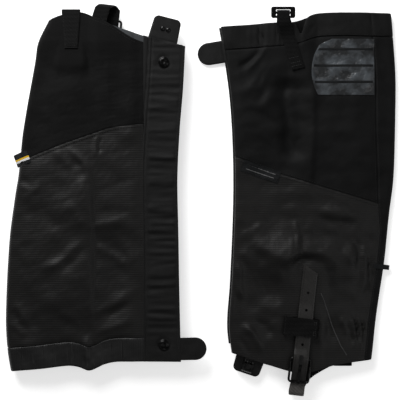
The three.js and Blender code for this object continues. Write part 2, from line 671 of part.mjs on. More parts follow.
// From the turn under the boot back between the two sides of the gaiter, to its anchor.
function strapInnerLeg(anchorEnd) {
  const low = STRAP_UNDER_BAR - 2 * BIGHT_R;
  const route = new THREE.CatmullRomCurve3([vec(0, -BIGHT_DROP, low), vec(2, -32, low), vec(13, -15, low),
    vec(anchorEnd.x - 12, anchorEnd.y - 4, mix(low, anchorEnd.z, 0.8)), anchorEnd]);
  const steps = 8;
  return Array.from({ length: steps }, (_, i) => {
    const share = (i + 1) / steps;
    const along = route.getTangentAt(share);
    return { centre: route.getPointAt(share), half: vec(-along.y, along.x, 0).setLength(STRAP_WIDTH / 2) };
  });
}

function instepStrap(side, anchorEnd) {
  const band = ribbon([...strapOuterLeg(), ...strapTurn(), ...strapInnerLeg(anchorEnd)], STRAP_THICK);
  const cutterHeight = 20;
  const holes = Array.from({ length: STRAP_HOLES }, (_, i) => (
    new THREE.CylinderGeometry(STRAP_HOLE_R, STRAP_HOLE_R, cutterHeight, 8).rotateX(Math.PI / 2)
      .translate(0, STRAP_FIRST_HOLE + i * STRAP_HOLE_STEP, cutterHeight / 2 + TAB_BOTTOM - 1)
  ));
  const slotFrom = -16.5;
  const slotTo = 4.5;
  const slot = new THREE.BoxGeometry(PRONG_WIDTH + 1, slotTo - slotFrom, cutterHeight)
    .translate(0, (slotFrom + slotTo) / 2, cutterHeight / 2 + STRAP_UNDER_BAR - 2);
  return mesh(`${side}_instep_strap`, cut(band, [...holes, slot]), COATED_STRAP);
}

function buckleTab(side) {
  const radius = BAR_ROOM + TAB_THICK / 2;
  const half = vec(TAB_WIDTH / 2, 0, 0);
  const upper = TAB_BOTTOM + 1.5 * TAB_THICK + SEAM;
  const stations = [[TAB_LENGTH, upper], [9.5, upper], [6.5, upper + 0.5]]
    .map(([y, z]) => ({ centre: vec(0, y, z), half }));
  const turns = 7;
  for (let i = 0; i <= turns; i += 1) {
    const turn = mix(radians(62), radians(270), i / turns);
    stations.push({ centre: vec(0, radius * Math.cos(turn), radius * Math.sin(turn)), half });
  }
  stations.push({ centre: vec(0, TAB_LENGTH, -radius), half });
  const notch = new THREE.BoxGeometry(PRONG_WIDTH + 2, 12, 12).translate(0, -1, 0);
  return mesh(`${side}_buckle_tab`, cut(ribbon(stations, TAB_THICK), [notch]), COATED_TAB);
}

function buckleFrame(side) {
  const bevel = 0.9;
  const outside = FRAME_WIDTH / 2 - bevel;
  const inside = FRAME_WIDTH / 2 - FRAME_ROD + bevel;
  const top = FRAME_ROD / 2 - bevel;
  const shape = roundedRect(new THREE.Shape(), -outside, -FRAME_REACH - top, outside, top, 3);
  shape.holes.push(roundedRect(new THREE.Path(), -inside, -FRAME_REACH + top, inside, -top, 1));
  const ring = new THREE.ExtrudeGeometry(shape, {
    depth: FRAME_ROD - 2 * bevel, bevelThickness: bevel, bevelSize: bevel, bevelSegments: 1, curveSegments: 2,
  });
  const swing = hinge(`${side}_buckle_frame_hinge`, vec(0, 0, 0), 0, [-1, 0, 0]);
  swing.add(mesh(`${side}_buckle_frame`, ring.translate(0, 0, bevel - FRAME_ROD / 2), DARK_METAL));
  swing.add(buckleProng(side));
  return swing;
}

function buckleProng(side) {
  const outer = BAR_ROOM + PRONG_THICK;
  const tip = -FRAME_REACH - 2;
  const shape = new THREE.Shape();
  shape.moveTo(tip, BAR_ROOM);
  shape.lineTo(tip, BAR_ROOM + PRONG_THICK * 0.6);
  shape.lineTo(tip + 3, outer);
  shape.lineTo(0, outer);
  shape.absarc(0, 0, outer, Math.PI / 2, -1.27 * Math.PI, true);
  shape.holes.push(new THREE.Path().absarc(0, 0, BAR_ROOM, 0, 2 * Math.PI));
  const root = Math.sqrt(outer ** 2 - BAR_ROOM ** 2);
  shape.lineTo(-root, BAR_ROOM + 0.05);
  const swing = hinge(`${side}_buckle_prong_hinge`, vec(0, 0, 0), 0, [-1, 0, 0]);
  swing.add(mesh(`${side}_buckle_prong`, barOf(shape, PRONG_WIDTH), DARK_METAL));
  return swing;
}

function strapKeeper(side) {
  const left = KEEPER_OFFSET - KEEPER_WIDTH / 2;
  const right = KEEPER_OFFSET + KEEPER_WIDTH / 2;
  const top = STRAP_OVER_TAB + STRAP_THICK / 2 + SEAM + KEEPER_THICK;
  const radius = (top - TAB_BOTTOM) / 2 - 0.1;
  const shape = roundedRect(new THREE.Shape(), left, TAB_BOTTOM, right, top, radius);
  shape.holes.push(roundedRect(new THREE.Path(), left + KEEPER_THICK, TAB_BOTTOM + KEEPER_THICK,
    right - KEEPER_THICK, top - KEEPER_THICK, radius - KEEPER_THICK));
  const sleeve = new THREE.ExtrudeGeometry(shape, {
    depth: KEEPER_HEIGHT, bevelEnabled: false, curveSegments: 3,
  });
  sleeve.rotateX(Math.PI / 2).translate(0, TAB_LENGTH + SEAM + KEEPER_HEIGHT, 0);
  return mesh(`${side}_strap_keeper`, sleeve, WEBBING);
}

// Webbing tab sewn over the foot edge of the inner side; the strap is sewn to its inside leg.
function strapAnchor(side, edges) {
  const x = ANCHOR_SHARE * WIDTH;
  const edge = edges.foot(x);
  const outside = ANCHOR_RISE - SEAM - ANCHOR_THICK / 2;
  const inside = ANCHOR_RISE + CLOTH + SEAM + ANCHOR_THICK / 2;
  const radius = (inside - outside) / 2;
  const wide = ANCHOR_WIDTH / 2;
  const foldY = edge - 2.5;
  const stations = [
    { centre: vec(x, edge + ANCHOR_LENGTH, outside), half: vec(ANCHOR_NARROW / 2, 0, 0) },
    { centre: vec(x, edge + ANCHOR_LENGTH * 0.5, outside), half: vec(wide * 0.85, 0, 0) },
    { centre: vec(x, foldY, outside), half: vec(wide, 0, 0) },
  ];
  const turns = 5;
  for (let i = 1; i <= turns; i += 1) {
    const turn = Math.PI * i / turns;
    const centre = vec(x, foldY - radius * Math.sin(turn), outside + radius * (1 - Math.cos(turn)));
    stations.push({ centre, half: vec(wide, 0, 0) });
  }
  stations.push({ centre: vec(x, edge + ANCHOR_LENGTH * 0.5, inside), half: vec(wide, 0, 0) });
  return mesh(`${side}_strap_anchor`, ribbon(stations, ANCHOR_THICK), WEBBING);
}

function strapAssembly(side, lie, edges) {
  const assembly = new THREE.Group();
  const x = lie.heelBarShare * WIDTH;
  assembly.position.set(x, edges.foot(x) + lie.heelBarAbove, DEPTH + HEEL_HEIGHT);
  assembly.rotation.z = radians(STRAP_LEAN);
  assembly.updateMatrix();
  const anchorX = ANCHOR_SHARE * WIDTH;
  const seat = ANCHOR_RISE + CLOTH + 2 * SEAM + ANCHOR_THICK + STRAP_THICK / 2;
  const end = vec(anchorX + 6, edges.foot(anchorX) + ANCHOR_LENGTH * 0.3, seat);
  end.applyMatrix4(assembly.matrix.clone().invert());
  assembly.add(instepStrap(side, end), buckleTab(side), buckleFrame(side), strapKeeper(side));
  return assembly;
}

// ---- Calf cinch, in a frame on the middle of the buckle's hinge bar ----
function cinchFrame(edges) {
  const x = CINCH_X;
  const half = CINCH_BUCKLE_WIDTH / 2;
  const edge = Math.max(edges.outerCalf(x - half), edges.outerCalf(x), edges.outerCalf(x + half));
  return vec(x, edge + CINCH_BAR_LIFT, DEPTH + CINCH_BAR_LIFT);
}

const CINCH_EYE = CINCH_BUCKLE_THICK / 2 + 0.8 + CINCH_WEB_THICK / 2;
const CINCH_ON_CLOTH = SEAM + CINCH_WEB_THICK / 2 - CINCH_BAR_LIFT;
const CINCH_FIRST_SLOT = CINCH_EYE + CINCH_WEB_THICK / 2 + 0.7;

function cinchAnchor(side, edges) {
  const half = vec(CINCH_WEB / 2, 0, 0);
  const flat = CINCH_ON_CLOTH;
  const stations = [[-20, flat], [-10, flat], [-6, flat + 0.6]]
    .map(([y, z]) => ({ centre: vec(0, y, z), half }));
  const turns = 7;
  for (let i = 0; i <= turns; i += 1) {
    const turn = mix(radians(150), radians(-80), i / turns);
    stations.push({ centre: vec(0, CINCH_EYE * Math.cos(turn), CINCH_EYE * Math.sin(turn)), half });
  }
  const piece = mesh(`${side}_cinch_anchor`, ribbon(stations, CINCH_WEB_THICK), WEBBING);
  piece.position.copy(cinchFrame(edges));
  return piece;
}

function cinchBuckle(side) {
  const half = CINCH_BUCKLE_WIDTH / 2;
  const low = -CINCH_BAR / 2;
  const slotHalf = CINCH_WEB / 2 + 1;
  const shape = roundedRect(new THREE.Shape(), -half, low, half, low + CINCH_BUCKLE_HEIGHT, 1);
  const firstSlot = CINCH_BAR / 2;
  const firstHeight = CINCH_FIRST_SLOT - firstSlot;
  const secondSlot = firstSlot + firstHeight + CINCH_BAR;
  for (const [bottom, height] of [[firstSlot, firstHeight], [secondSlot, CINCH_SLOT]]) {
    shape.holes.push(roundedRect(new THREE.Path(), -slotHalf, bottom, slotHalf, bottom + height, 0.5));
  }
  return mesh(`${side}_cinch_buckle`, prism(shape, -CINCH_BUCKLE_THICK / 2, CINCH_BUCKLE_THICK, 1), PLASTIC);
}

// The free end comes up through the far slot, back over the buckle and down the outer side.
function cinchTail(side) {
  const slotMiddle = CINCH_FIRST_SLOT + CINCH_BAR + CINCH_SLOT / 2;
  const over = CINCH_EYE + CINCH_WEB_THICK + SEAM;
  const flat = CINCH_ON_CLOTH;
  const points = [[0, slotMiddle, -2.6], [0, slotMiddle, 1.6], [0, slotMiddle - 0.8, over - 0.6],
    [0, slotMiddle - 2.4, over], [0, 0, over], [2, -8, over - 1], [6, -24, flat + 0.6], [10, -34, flat],
    [19, 8 - CINCH_TAIL, flat]];
  const stations = points.map(([x, y, z]) => {
    const drift = x > 0 ? 0.25 : 0;
    return { centre: vec(x, y, z), half: vec(1, drift, 0).setLength(CINCH_WEB / 2) };
  });
  return mesh(`${side}_cinch_tail`, ribbon(stations, CINCH_WEB_THICK), WEBBING);
}

function cinch(side, edges) {
  const swing = hinge(`${side}_cinch_hinge`, cinchFrame(edges), 0, [-1, 0, 0]);
  swing.add(cinchBuckle(side), cinchTail(side));
  return swing;
}

// ---- One gaiter and the pair ----
function gaiter(side, lie) {
  const edges = edgesOf(lie);
  const whole = new THREE.Group();
  whole.add(...legTube(side, edges), placket(side, lie, edges), loopStrip(side, lie, edges));
  whole.add(frontFlap(side, lie, edges), ...studs(side, lie, edges), hookTab(side, lie, edges));
  whole.add(strapAssembly(side, lie, edges), strapAnchor(side, edges));
  whole.add(cinchAnchor(side, edges), cinch(side, edges));
  return whole;
}

function layPair() {
  const left = gaiter('left', LEFT_LIE);
  left.position.set(PAIR_SPACING / 2, 0, 0);
  const right = gaiter('right', RIGHT_LIE);
  right.scale.set(-1, -1, -1);
  right.position.set(-PAIR_SPACING / 2, PAIR_SHIFT, 0);
  right.position.z = -new THREE.Box3().setFromObject(right).min.z;
  const pair = new THREE.Group();
  pair.add(left, right);
  const box = new THREE.Box3().setFromObject(pair);
  const middle = box.getCenter(vec(0, 0, 0));
  pair.position.set(-middle.x, -middle.y, -box.min.z);
  return pair;
}

const pair = layPair();
export default pair;
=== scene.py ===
# A pair of mountain gaiters, lying flat: cloth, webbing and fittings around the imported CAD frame.
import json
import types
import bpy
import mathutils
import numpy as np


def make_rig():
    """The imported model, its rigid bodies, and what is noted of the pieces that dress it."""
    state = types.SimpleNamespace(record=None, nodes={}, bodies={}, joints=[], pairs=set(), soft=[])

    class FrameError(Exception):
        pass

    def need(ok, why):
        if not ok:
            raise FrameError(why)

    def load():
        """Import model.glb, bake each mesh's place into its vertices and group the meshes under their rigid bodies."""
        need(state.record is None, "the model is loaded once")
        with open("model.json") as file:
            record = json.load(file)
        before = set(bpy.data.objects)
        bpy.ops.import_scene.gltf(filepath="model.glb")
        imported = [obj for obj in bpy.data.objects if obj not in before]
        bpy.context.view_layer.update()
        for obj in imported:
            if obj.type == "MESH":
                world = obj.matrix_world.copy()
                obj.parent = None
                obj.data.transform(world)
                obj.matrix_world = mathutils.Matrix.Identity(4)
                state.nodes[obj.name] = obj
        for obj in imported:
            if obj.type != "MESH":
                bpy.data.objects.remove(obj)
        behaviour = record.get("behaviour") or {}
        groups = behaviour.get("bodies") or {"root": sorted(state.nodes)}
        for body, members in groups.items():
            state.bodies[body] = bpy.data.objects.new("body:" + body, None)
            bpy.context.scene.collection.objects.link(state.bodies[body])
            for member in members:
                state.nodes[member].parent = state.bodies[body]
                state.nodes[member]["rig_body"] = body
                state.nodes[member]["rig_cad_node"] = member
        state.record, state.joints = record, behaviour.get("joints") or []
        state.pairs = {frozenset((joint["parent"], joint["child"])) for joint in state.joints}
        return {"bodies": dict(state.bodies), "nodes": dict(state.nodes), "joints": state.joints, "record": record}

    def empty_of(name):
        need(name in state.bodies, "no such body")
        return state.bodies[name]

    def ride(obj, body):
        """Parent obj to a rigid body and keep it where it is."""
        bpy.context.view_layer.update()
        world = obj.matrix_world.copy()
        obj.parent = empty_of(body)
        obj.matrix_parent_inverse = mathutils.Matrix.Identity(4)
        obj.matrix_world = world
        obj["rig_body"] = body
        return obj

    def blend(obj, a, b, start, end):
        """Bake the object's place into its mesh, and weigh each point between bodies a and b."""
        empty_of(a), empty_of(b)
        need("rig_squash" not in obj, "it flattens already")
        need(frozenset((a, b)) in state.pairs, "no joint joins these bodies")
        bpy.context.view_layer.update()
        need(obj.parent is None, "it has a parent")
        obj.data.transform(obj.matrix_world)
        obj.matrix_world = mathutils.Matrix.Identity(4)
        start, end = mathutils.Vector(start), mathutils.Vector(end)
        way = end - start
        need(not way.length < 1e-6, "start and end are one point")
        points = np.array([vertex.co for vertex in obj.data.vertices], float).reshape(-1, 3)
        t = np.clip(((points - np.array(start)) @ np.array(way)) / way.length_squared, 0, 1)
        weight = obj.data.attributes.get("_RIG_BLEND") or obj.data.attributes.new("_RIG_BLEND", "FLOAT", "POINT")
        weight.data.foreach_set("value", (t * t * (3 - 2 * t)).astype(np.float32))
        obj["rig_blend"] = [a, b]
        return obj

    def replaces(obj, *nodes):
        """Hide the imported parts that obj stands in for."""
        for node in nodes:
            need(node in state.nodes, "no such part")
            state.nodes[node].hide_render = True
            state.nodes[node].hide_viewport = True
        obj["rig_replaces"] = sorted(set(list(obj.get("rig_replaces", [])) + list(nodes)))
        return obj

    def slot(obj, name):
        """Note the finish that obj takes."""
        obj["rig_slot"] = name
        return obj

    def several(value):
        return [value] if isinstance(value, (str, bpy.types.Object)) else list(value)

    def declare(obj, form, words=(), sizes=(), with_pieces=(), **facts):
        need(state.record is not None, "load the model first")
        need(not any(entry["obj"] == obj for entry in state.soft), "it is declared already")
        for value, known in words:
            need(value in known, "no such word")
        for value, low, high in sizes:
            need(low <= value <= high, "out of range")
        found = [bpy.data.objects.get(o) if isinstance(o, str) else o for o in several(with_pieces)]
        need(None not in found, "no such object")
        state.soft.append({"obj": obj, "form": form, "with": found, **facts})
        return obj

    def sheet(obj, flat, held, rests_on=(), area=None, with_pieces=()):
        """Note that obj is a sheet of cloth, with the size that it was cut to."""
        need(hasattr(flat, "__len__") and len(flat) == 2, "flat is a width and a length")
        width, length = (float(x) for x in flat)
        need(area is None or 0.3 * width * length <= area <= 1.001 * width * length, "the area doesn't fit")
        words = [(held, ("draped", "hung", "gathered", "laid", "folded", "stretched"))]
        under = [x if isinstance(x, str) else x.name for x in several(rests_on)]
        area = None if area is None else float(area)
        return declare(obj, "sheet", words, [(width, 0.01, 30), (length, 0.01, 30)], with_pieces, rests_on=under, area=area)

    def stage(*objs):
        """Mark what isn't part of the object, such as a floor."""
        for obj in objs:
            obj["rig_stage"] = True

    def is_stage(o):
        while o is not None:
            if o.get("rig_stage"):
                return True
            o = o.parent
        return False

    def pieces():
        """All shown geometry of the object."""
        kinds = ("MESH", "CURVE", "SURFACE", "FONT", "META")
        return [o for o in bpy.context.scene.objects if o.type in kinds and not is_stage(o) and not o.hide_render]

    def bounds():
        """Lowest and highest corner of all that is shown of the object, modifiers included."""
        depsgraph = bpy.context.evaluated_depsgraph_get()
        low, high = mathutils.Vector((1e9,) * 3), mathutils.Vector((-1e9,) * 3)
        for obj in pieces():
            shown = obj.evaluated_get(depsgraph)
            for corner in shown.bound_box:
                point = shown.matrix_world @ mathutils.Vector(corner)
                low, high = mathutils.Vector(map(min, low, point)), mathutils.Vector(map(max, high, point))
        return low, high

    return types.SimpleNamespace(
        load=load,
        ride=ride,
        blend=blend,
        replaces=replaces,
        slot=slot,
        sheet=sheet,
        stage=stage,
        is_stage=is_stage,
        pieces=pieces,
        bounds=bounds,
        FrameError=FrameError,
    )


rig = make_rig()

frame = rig.load()
CAD_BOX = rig.bounds()

import json
import math

import bmesh
import bpy
import numpy as np
from mathutils import Vector

# ---- Sizes of the CAD gaiter, in mm, in the gaiter's own frame ----
# x runs from the front edge to the back edge, y from the foot end to the calf end, and z from the
# inner side of the leg (0) to the outer side (DEPTH).
LENGTH, WIDTH, DEPTH = 450.0, 216.0, 15.0
CLOTH, HEM_THICK, HEM_HEIGHT, GAP = 1.2, 1.8, 30.0, 0.3
FLAP_REACH, FLAP_LEVEL, PLACKET_LEVEL = 52.0, 2.7, 7.4
FRONT_INSET, FRONT_FOLD, BACK_FOLD = 2.0, 3.8, 7.5
SNAP_X, SNAP_FROM_FOOT, SNAP_FROM_CALF = 27.0, 27.0, 21.5
STRIP_NEAR, STRIP_FAR, STRIP_MARGIN = 14.0, 45.0, 14.0
ANCHOR_X, ANCHOR_LENGTH = 0.657 * WIDTH, 44.0

LIE = {
    "left": dict(
        front=[(0.05, 0), (0.13, -0.016), (0.245, 0), (0.45, 0.018), (0.6, 0.018), (0.755, 0), (0.89, -0.038),
               (0.96, -0.064)],
        back=[(0.034, 0.822), (0.165, 0.854), (0.302, 0.897), (0.436, 0.926), (0.538, 0.952), (0.71, 0.963),
              (0.835, 0.963), (1, 0.937)],
        foot=[(0, 0.055), (0.12, 0.037), (0.213, 0.021), (0.42, -0.002), (0.62, 0.021), (0.82, 0.034)],
        calf=[(-0.065, 0.958), (0.17, 0.967), (0.38, 0.977), (0.52, 0.997), (0.94, 0.998)],
        inset=10, pull=31),
    "right": dict(
        front=[(0.073, 0), (0.194, 0.013), (0.305, 0.032), (0.44, 0.045), (0.58, 0.04), (0.75, 0.034),
               (0.947, 0.025)],
        back=[(0.004, 0.79), (0.064, 0.85), (0.111, 0.868), (0.305, 0.939), (0.424, 0.965), (0.5, 0.99),
              (0.61, 1.019), (0.81, 1.04), (0.897, 1.034), (0.975, 1.011)],
        foot=[(0, 0.073), (0.1, 0.06), (0.232, 0.044), (0.44, 0.01), (0.51, -0.002), (0.6, -0.018),
              (0.715, -0.01), (0.79, 0.004)],
        calf=[(0.025, 0.947), (0.38, 0.947), (0.46, 0.953), (0.55, 0.971), (0.61, 0.962), (0.67, 0.958),
              (0.84, 0.967), (1.01, 0.975)],
        inset=1, pull=16),
}
OUTER_SEAM = [(0.02, 0.6), (0.29, 0.55), (0.42, 0.531), (0.885, 0.464)]
INNER_SEAM = [(0.27, 0.291), (0.43, 0.301), (0.55, 0.32), (0.7, 0.345), (0.93, 0.389)]
BACK_STRIP = [(0.39, 10), (0.53, 20), (0.7, 25), (0.93, 26)]

# The front line of double stitching on the inner side, as (height, distance from the front datum).
HINGE_STITCH = [(25, 45.5), (75, 48), (112, 51), (187, 55.5), (212, 55.5), (262, 54.5), (337, 54), (425, 52.5)]


def through(points, scale_in=1.0, scale_out=1.0):
    """Smooth curve through a few (position, value) pairs, level beyond its ends."""
    at = np.array([p[0] for p in points], float) * scale_in
    value = np.array([p[1] for p in points], float) * scale_out
    last = len(at) - 1
    before, after = np.maximum(np.arange(last + 1) - 1, 0), np.minimum(np.arange(last + 1) + 1, last)
    slope = (value[after] - value[before]) / (at[after] - at[before])

    def curve(t):
        t = np.clip(np.asarray(t, float), at[0], at[-1])
        i = np.clip(np.searchsorted(at, t, side="right") - 1, 0, last - 1)
        span = at[i + 1] - at[i]
        s = (t - at[i]) / span
        rise = value[i + 1] - value[i]
        bend = (slope[i] * span - rise) * (1 - s) - (slope[i + 1] * span - rise) * s
        return value[i] + rise * s + s * (1 - s) * bend

    return curve


def smooth(t, low, high):
    s = np.clip((np.asarray(t, float) - low) / (high - low), 0, 1)
    return s * s * (3 - 2 * s)


def mix(a, b, t):
    return a + (b - a) * t


# ---- Folds and creases ----
def waves(seed, scale_x, scale_y, count=26):
    """Smooth random field of about unit height, its features about scale_x by scale_y mm."""
    r = np.random.default_rng(seed)
    angle = r.uniform(0, 2 * np.pi, count)
    size = r.uniform(0.45, 1.5, count)
    kx, ky = np.cos(angle) * size * 2 * np.pi / scale_x, np.sin(angle) * size * 2 * np.pi / scale_y
    phase, height = r.uniform(0, 2 * np.pi, count), r.uniform(0.5, 1, count) / size ** 0.7
    height = height * np.sqrt(2) / np.sqrt((height ** 2).sum())

    def field(x, y):
        x, y = np.broadcast_arrays(np.asarray(x, float), np.asarray(y, float))
        total = np.zeros(x.shape)
        for a, b, p, h in zip(kx, ky, phase, height):
            total += h * np.sin(a * x + b * y + p)
        return total

    return field


def fold(path, height, left=5.0, right=None, ends=0.3):
    """Ridge (or valley, height below 0) along a path, left mm wide on its left and right on its right."""
    points = np.array(path, float)
    right = left if right is None else right
    step = np.linalg.norm(np.diff(points, axis=0), axis=1)
    start = np.concatenate([[0], np.cumsum(step)])
    total = start[-1]

    def field(x, y):
        x, y = np.broadcast_arrays(np.asarray(x, float), np.asarray(y, float))
        best = np.full(x.shape, 1e9)
        side, along = np.zeros(x.shape), np.zeros(x.shape)
        for a, b, at, long in zip(points[:-1], points[1:], start, step):
            d = (b - a) / long
            t = np.clip((x - a[0]) * d[0] + (y - a[1]) * d[1], 0, long)
            ox, oy = x - a[0] - t * d[0], y - a[1] - t * d[1]
            far = np.hypot(ox, oy)
            near = far < best
            best = np.where(near, far, best)
            side = np.where(near, d[0] * oy - d[1] * ox, side)
            along = np.where(near, (at + t) / total, along)
        width = np.where(side > 0, left, right)
        fade = smooth(along, 0, ends) * (1 - smooth(along, 1 - ends, 1)) if ends else 1.0
        return height * fade * np.exp(-(best / width) ** 2)

    return field


def bump(x0, y0, rx, ry, height, turn=0.0):
    """Soft oval swelling, rx by ry mm, its rx axis turned by turn degrees."""
    c, s = math.cos(math.radians(turn)), math.sin(math.radians(turn))

    def field(x, y):
        u, v = (x - x0) * c + (y - y0) * s, -(x - x0) * s + (y - y0) * c
        return height * np.exp(-(u / rx) ** 2 - (v / ry) ** 2)

    return field


STRAP_TIP = (99.0, 134.0)   # the strap lies flat below this place on the left gaiter
STRAP_ROOM = (13, 7)        # half width beside the strap and height past its tip, before folds begin
FOLD_GAIN = {"left": 1.7, "right": 0.9}  # folds stand higher on the left gaiter


def facet(left, right, top, low, slope, fall, side=9.0):
    """Broad slope from top down to low, mm up the leg as (left, right) pairs, then falling away below."""
    def field(x, y):
        t = np.clip((x - left) / (right - left), 0, 1)
        upper, lower = mix(top[0], top[1], t), mix(low[0], low[1], t)
        rise = smooth(upper - y, 0, upper - lower) * (1 - smooth(lower - y, 0, fall))
        ends = smooth(x, left - side, left + side) * (1 - smooth(x, right - side, right + side))
        past_tip = np.maximum(0, y - STRAP_TIP[1])
        off_strap = smooth(np.hypot((x - STRAP_TIP[0]) / STRAP_ROOM[0], past_tip / STRAP_ROOM[1]), 0.8, 2.6)
        return slope * (upper - lower) * rise * ends * off_strap

    return field


FOLDS = {
    # The left gaiter's outer side, which faces up.
    ("left", "outer"): [
        # calf: gathers running down from the cinch
        fold([(50, 412), (38, 396), (18, 372)], 2.2, 5, 3),
        fold([(42, 402), (24, 388), (8, 378)], -1.6, 4),
        fold([(52, 396), (44, 378), (30, 352)], -2.0, 4, 6),
        fold([(66, 405), (60, 380), (48, 350), (40, 322)], 1.8, 7, 5),
        fold([(74, 402), (73, 372), (68, 340)], -1.4, 4),
        fold([(95, 440), (90, 418), (94, 396)], 1.8, 4),
        fold([(84, 436), (88, 420), (86, 404)], -1.8, 3),
        fold([(104, 436), (97, 420)], -1.4, 3),
        # the long valley down the middle of the calf
        fold([(62, 388), (70, 350), (77, 312), (77, 285), (72, 256)], -5.0, 19, 11, 0.22),
        fold([(58, 300), (80, 286), (84, 262)], -1.6, 8),
        fold([(72, 366), (76, 335), (80, 300), (78, 268)], 2.0, 8, 6),
        fold([(102, 372), (103, 340), (103, 300), (100, 250), (98, 215)], 1.9, 5, 14, 0.2),
        bump(36, 334, 30, 46, 3.4, 20),
        fold([(54, 396), (36, 366), (14, 344)], 2.4, 9, 6),
        fold([(60, 384), (48, 352), (30, 330)], -2.2, 7),
        bump(40, 285, 28, 12, -1.2, -6),
        bump(135, 300, 34, 34, 1.4),
        fold([(12, 330), (40, 322), (66, 300)], -1.0, 7),
        fold([(10, 300), (40, 296), (70, 276)], 0.9, 6),
        fold([(112, 262), (140, 270), (168, 262)], 0.8, 8),
        # just under the diagonal seam
        fold([(108, 206), (135, 199), (164, 197)], 1.5, 6, 9),
        fold([(100, 196), (130, 187), (168, 184)], -1.0, 6),
        # the large soft folds at the shin
        facet(16, 84, (172, 194), (158, 134), 0.13, 44, 8),
        facet(88, 158, (178, 164), (144, 144), 0.14, 46, 8),
        fold([(10, 170), (28, 176), (44, 186)], 1.2, 5, 8),
        fold([(80, 196), (85, 172), (84, 148), (82, 130)], 1.3, 4, 3, 0.3),
        fold([(16, 172), (30, 150), (50, 136)], -1.6, 9),
        fold([(6, 148), (12, 128), (12, 104), (20, 84)], 1.7, 4, 8),
        fold([(2, 116), (8, 92), (6, 66)], -1.2, 4),
        bump(40, 96, 30, 18, -1.0),
        bump(50, 84, 24, 14, 1.0, -20),
        # back edge
        fold([(166, 166), (170, 140), (168, 112), (160, 88)], 1.5, 4, 5),
        fold([(172, 150), (178, 118), (172, 84)], -1.2, 3),
        fold([(156, 172), (161, 150), (160, 128)], -1.2, 4),
        # lower front: a curved fold by the lace hook
        fold([(14, 62), (28, 50), (36, 36), (40, 22)], 2.0, 4, 6),
        fold([(26, 64), (44, 58), (52, 40)], -1.4, 6),
        fold([(8, 44), (18, 34), (26, 20)], -1.2, 4),
        bump(58, 52, 14, 22, 1.0),
        # ankle elastic: short ridges at the back of the foot edge
        fold([(136, 72), (147, 58), (152, 40)], 1.8, 5),
        fold([(148, 78), (155, 60), (158, 38), (156, 24)], 1.9, 3.2),
        fold([(158, 76), (163, 56), (165, 34), (164, 18)], 1.8, 3),
        fold([(168, 74), (171, 54), (172, 32), (171, 18)], 1.6, 2.6),
        fold([(142, 70), (150, 50), (153, 30)], -1.5, 3),
        fold([(153, 74), (159, 56), (161, 30)], -1.6, 2.6),
        fold([(164, 70), (168, 50), (168, 24)], -1.4, 2.4),
        fold([(108, 100), (114, 86), (120, 66), (126, 48), (136, 24)], -0.9, 5),
        fold([(104, 60), (112, 44), (118, 24)], 1.0, 5),
    ],
    # The right gaiter's inner side, which faces up.
    ("right", "inner"): [
        fold([(112, 40), (114, 80), (112, 118)], -1.0, 7, 9, 0.3),
        fold([(96, 45), (98, 84), (100, 122)], 0.9, 8),
        fold([(62, 70), (70, 100), (68, 126)], 0.5, 10),
        bump(150, 90, 30, 34, 0.8),
        # under the diagonal seam
        fold([(106, 146), (107, 158), (106, 168)], -2.2, 2.2),
        fold([(110, 142), (111, 160), (112, 174)], 1.2, 3),
        fold([(150, 158), (136, 168), (124, 180), (118, 192)], 1.9, 4, 6),
        fold([(164, 160), (150, 176), (140, 190)], 1.3, 6),
        fold([(118, 182), (128, 204), (124, 226), (120, 248)], 1.4, 5, 7),
        fold([(142, 172), (130, 184), (126, 204)], -1.4, 5),
        # the centre crease, with the crossing folds round it
        fold([(119, 176), (119, 210), (118, 250), (117, 300), (118, 350), (118, 384)], 2.6, 4, 24, 0.12),
        bump(150, 214, 26, 34, 2.6),
        bump(150, 330, 28, 40, 2.4),
        bump(92, 300, 26, 50, -1.6),
        fold([(112, 190), (112, 240), (113, 300), (114, 372)], -1.3, 6, 4, 0.2),
        fold([(124, 262), (108, 256), (84, 252), (72, 256)], 2.2, 6, 7),
        fold([(124, 262), (136, 240), (150, 226)], 1.7, 7),
        fold([(122, 268), (136, 284), (158, 304), (184, 312)], 2.2, 5, 7),
        fold([(124, 282), (140, 302), (160, 318)], -1.4, 6),
        fold([(120, 272), (104, 286), (86, 296), (70, 312)], 1.5, 5, 6),
        fold([(112, 244), (90, 238), (66, 240)], -1.1, 6),
        bump(152, 250, 26, 30, 1.6),
        bump(148, 340, 26, 34, 1.2),
        bump(90, 320, 22, 24, -1.0),
        # lower calf
        fold([(64, 338), (82, 352), (104, 362), (118, 372)], 1.9, 5, 7),
        fold([(62, 366), (78, 378), (100, 386), (116, 392)], 1.4, 5),
        fold([(70, 350), (86, 364), (104, 372)], -1.3, 5),
        fold([(120, 392), (124, 410), (122, 428)], 2.4, 4),
        fold([(114, 396), (116, 414), (113, 430)], -1.6, 3),
        fold([(128, 386), (140, 372), (160, 362)], 1.3, 6),
        # back edge, near the side label and at the hem
        fold([(196, 196), (206, 204), (214, 214)], -2.2, 4),
        fold([(190, 214), (204, 208), (214, 198)], 1.6, 4),
        fold([(176, 206), (190, 214), (206, 228)], 1.2, 5),
        fold([(200, 236), (196, 262), (204, 286)], 0.9, 6),
        fold([(214, 348), (206, 366), (194, 384)], 1.8, 5),
        fold([(222, 376), (210, 384), (198, 396)], 1.6, 4),
        fold([(216, 362), (206, 376)], -1.5, 4),
        fold([(196, 350), (188, 372), (186, 392)], -1.2, 6),
    ],
    ("left", "inner"): [
        fold([(80, 120), (110, 140), (150, 150)], 0.5, 9),
        fold([(70, 240), (110, 250), (160, 240)], 0.5, 10),
    ],
    ("right", "outer"): [
        fold([(60, 140), (110, 150), (160, 140)], -1.4, 12),
        fold([(70, 250), (110, 262), (150, 250)], -1.2, 12),
    ],
}
FINE = {
    "left": (waves(3, 34, 26), waves(5, 9, 7), waves(7, 90, 70)),
    "right": (waves(11, 36, 28), waves(13, 9, 7), waves(17, 90, 80)),
}


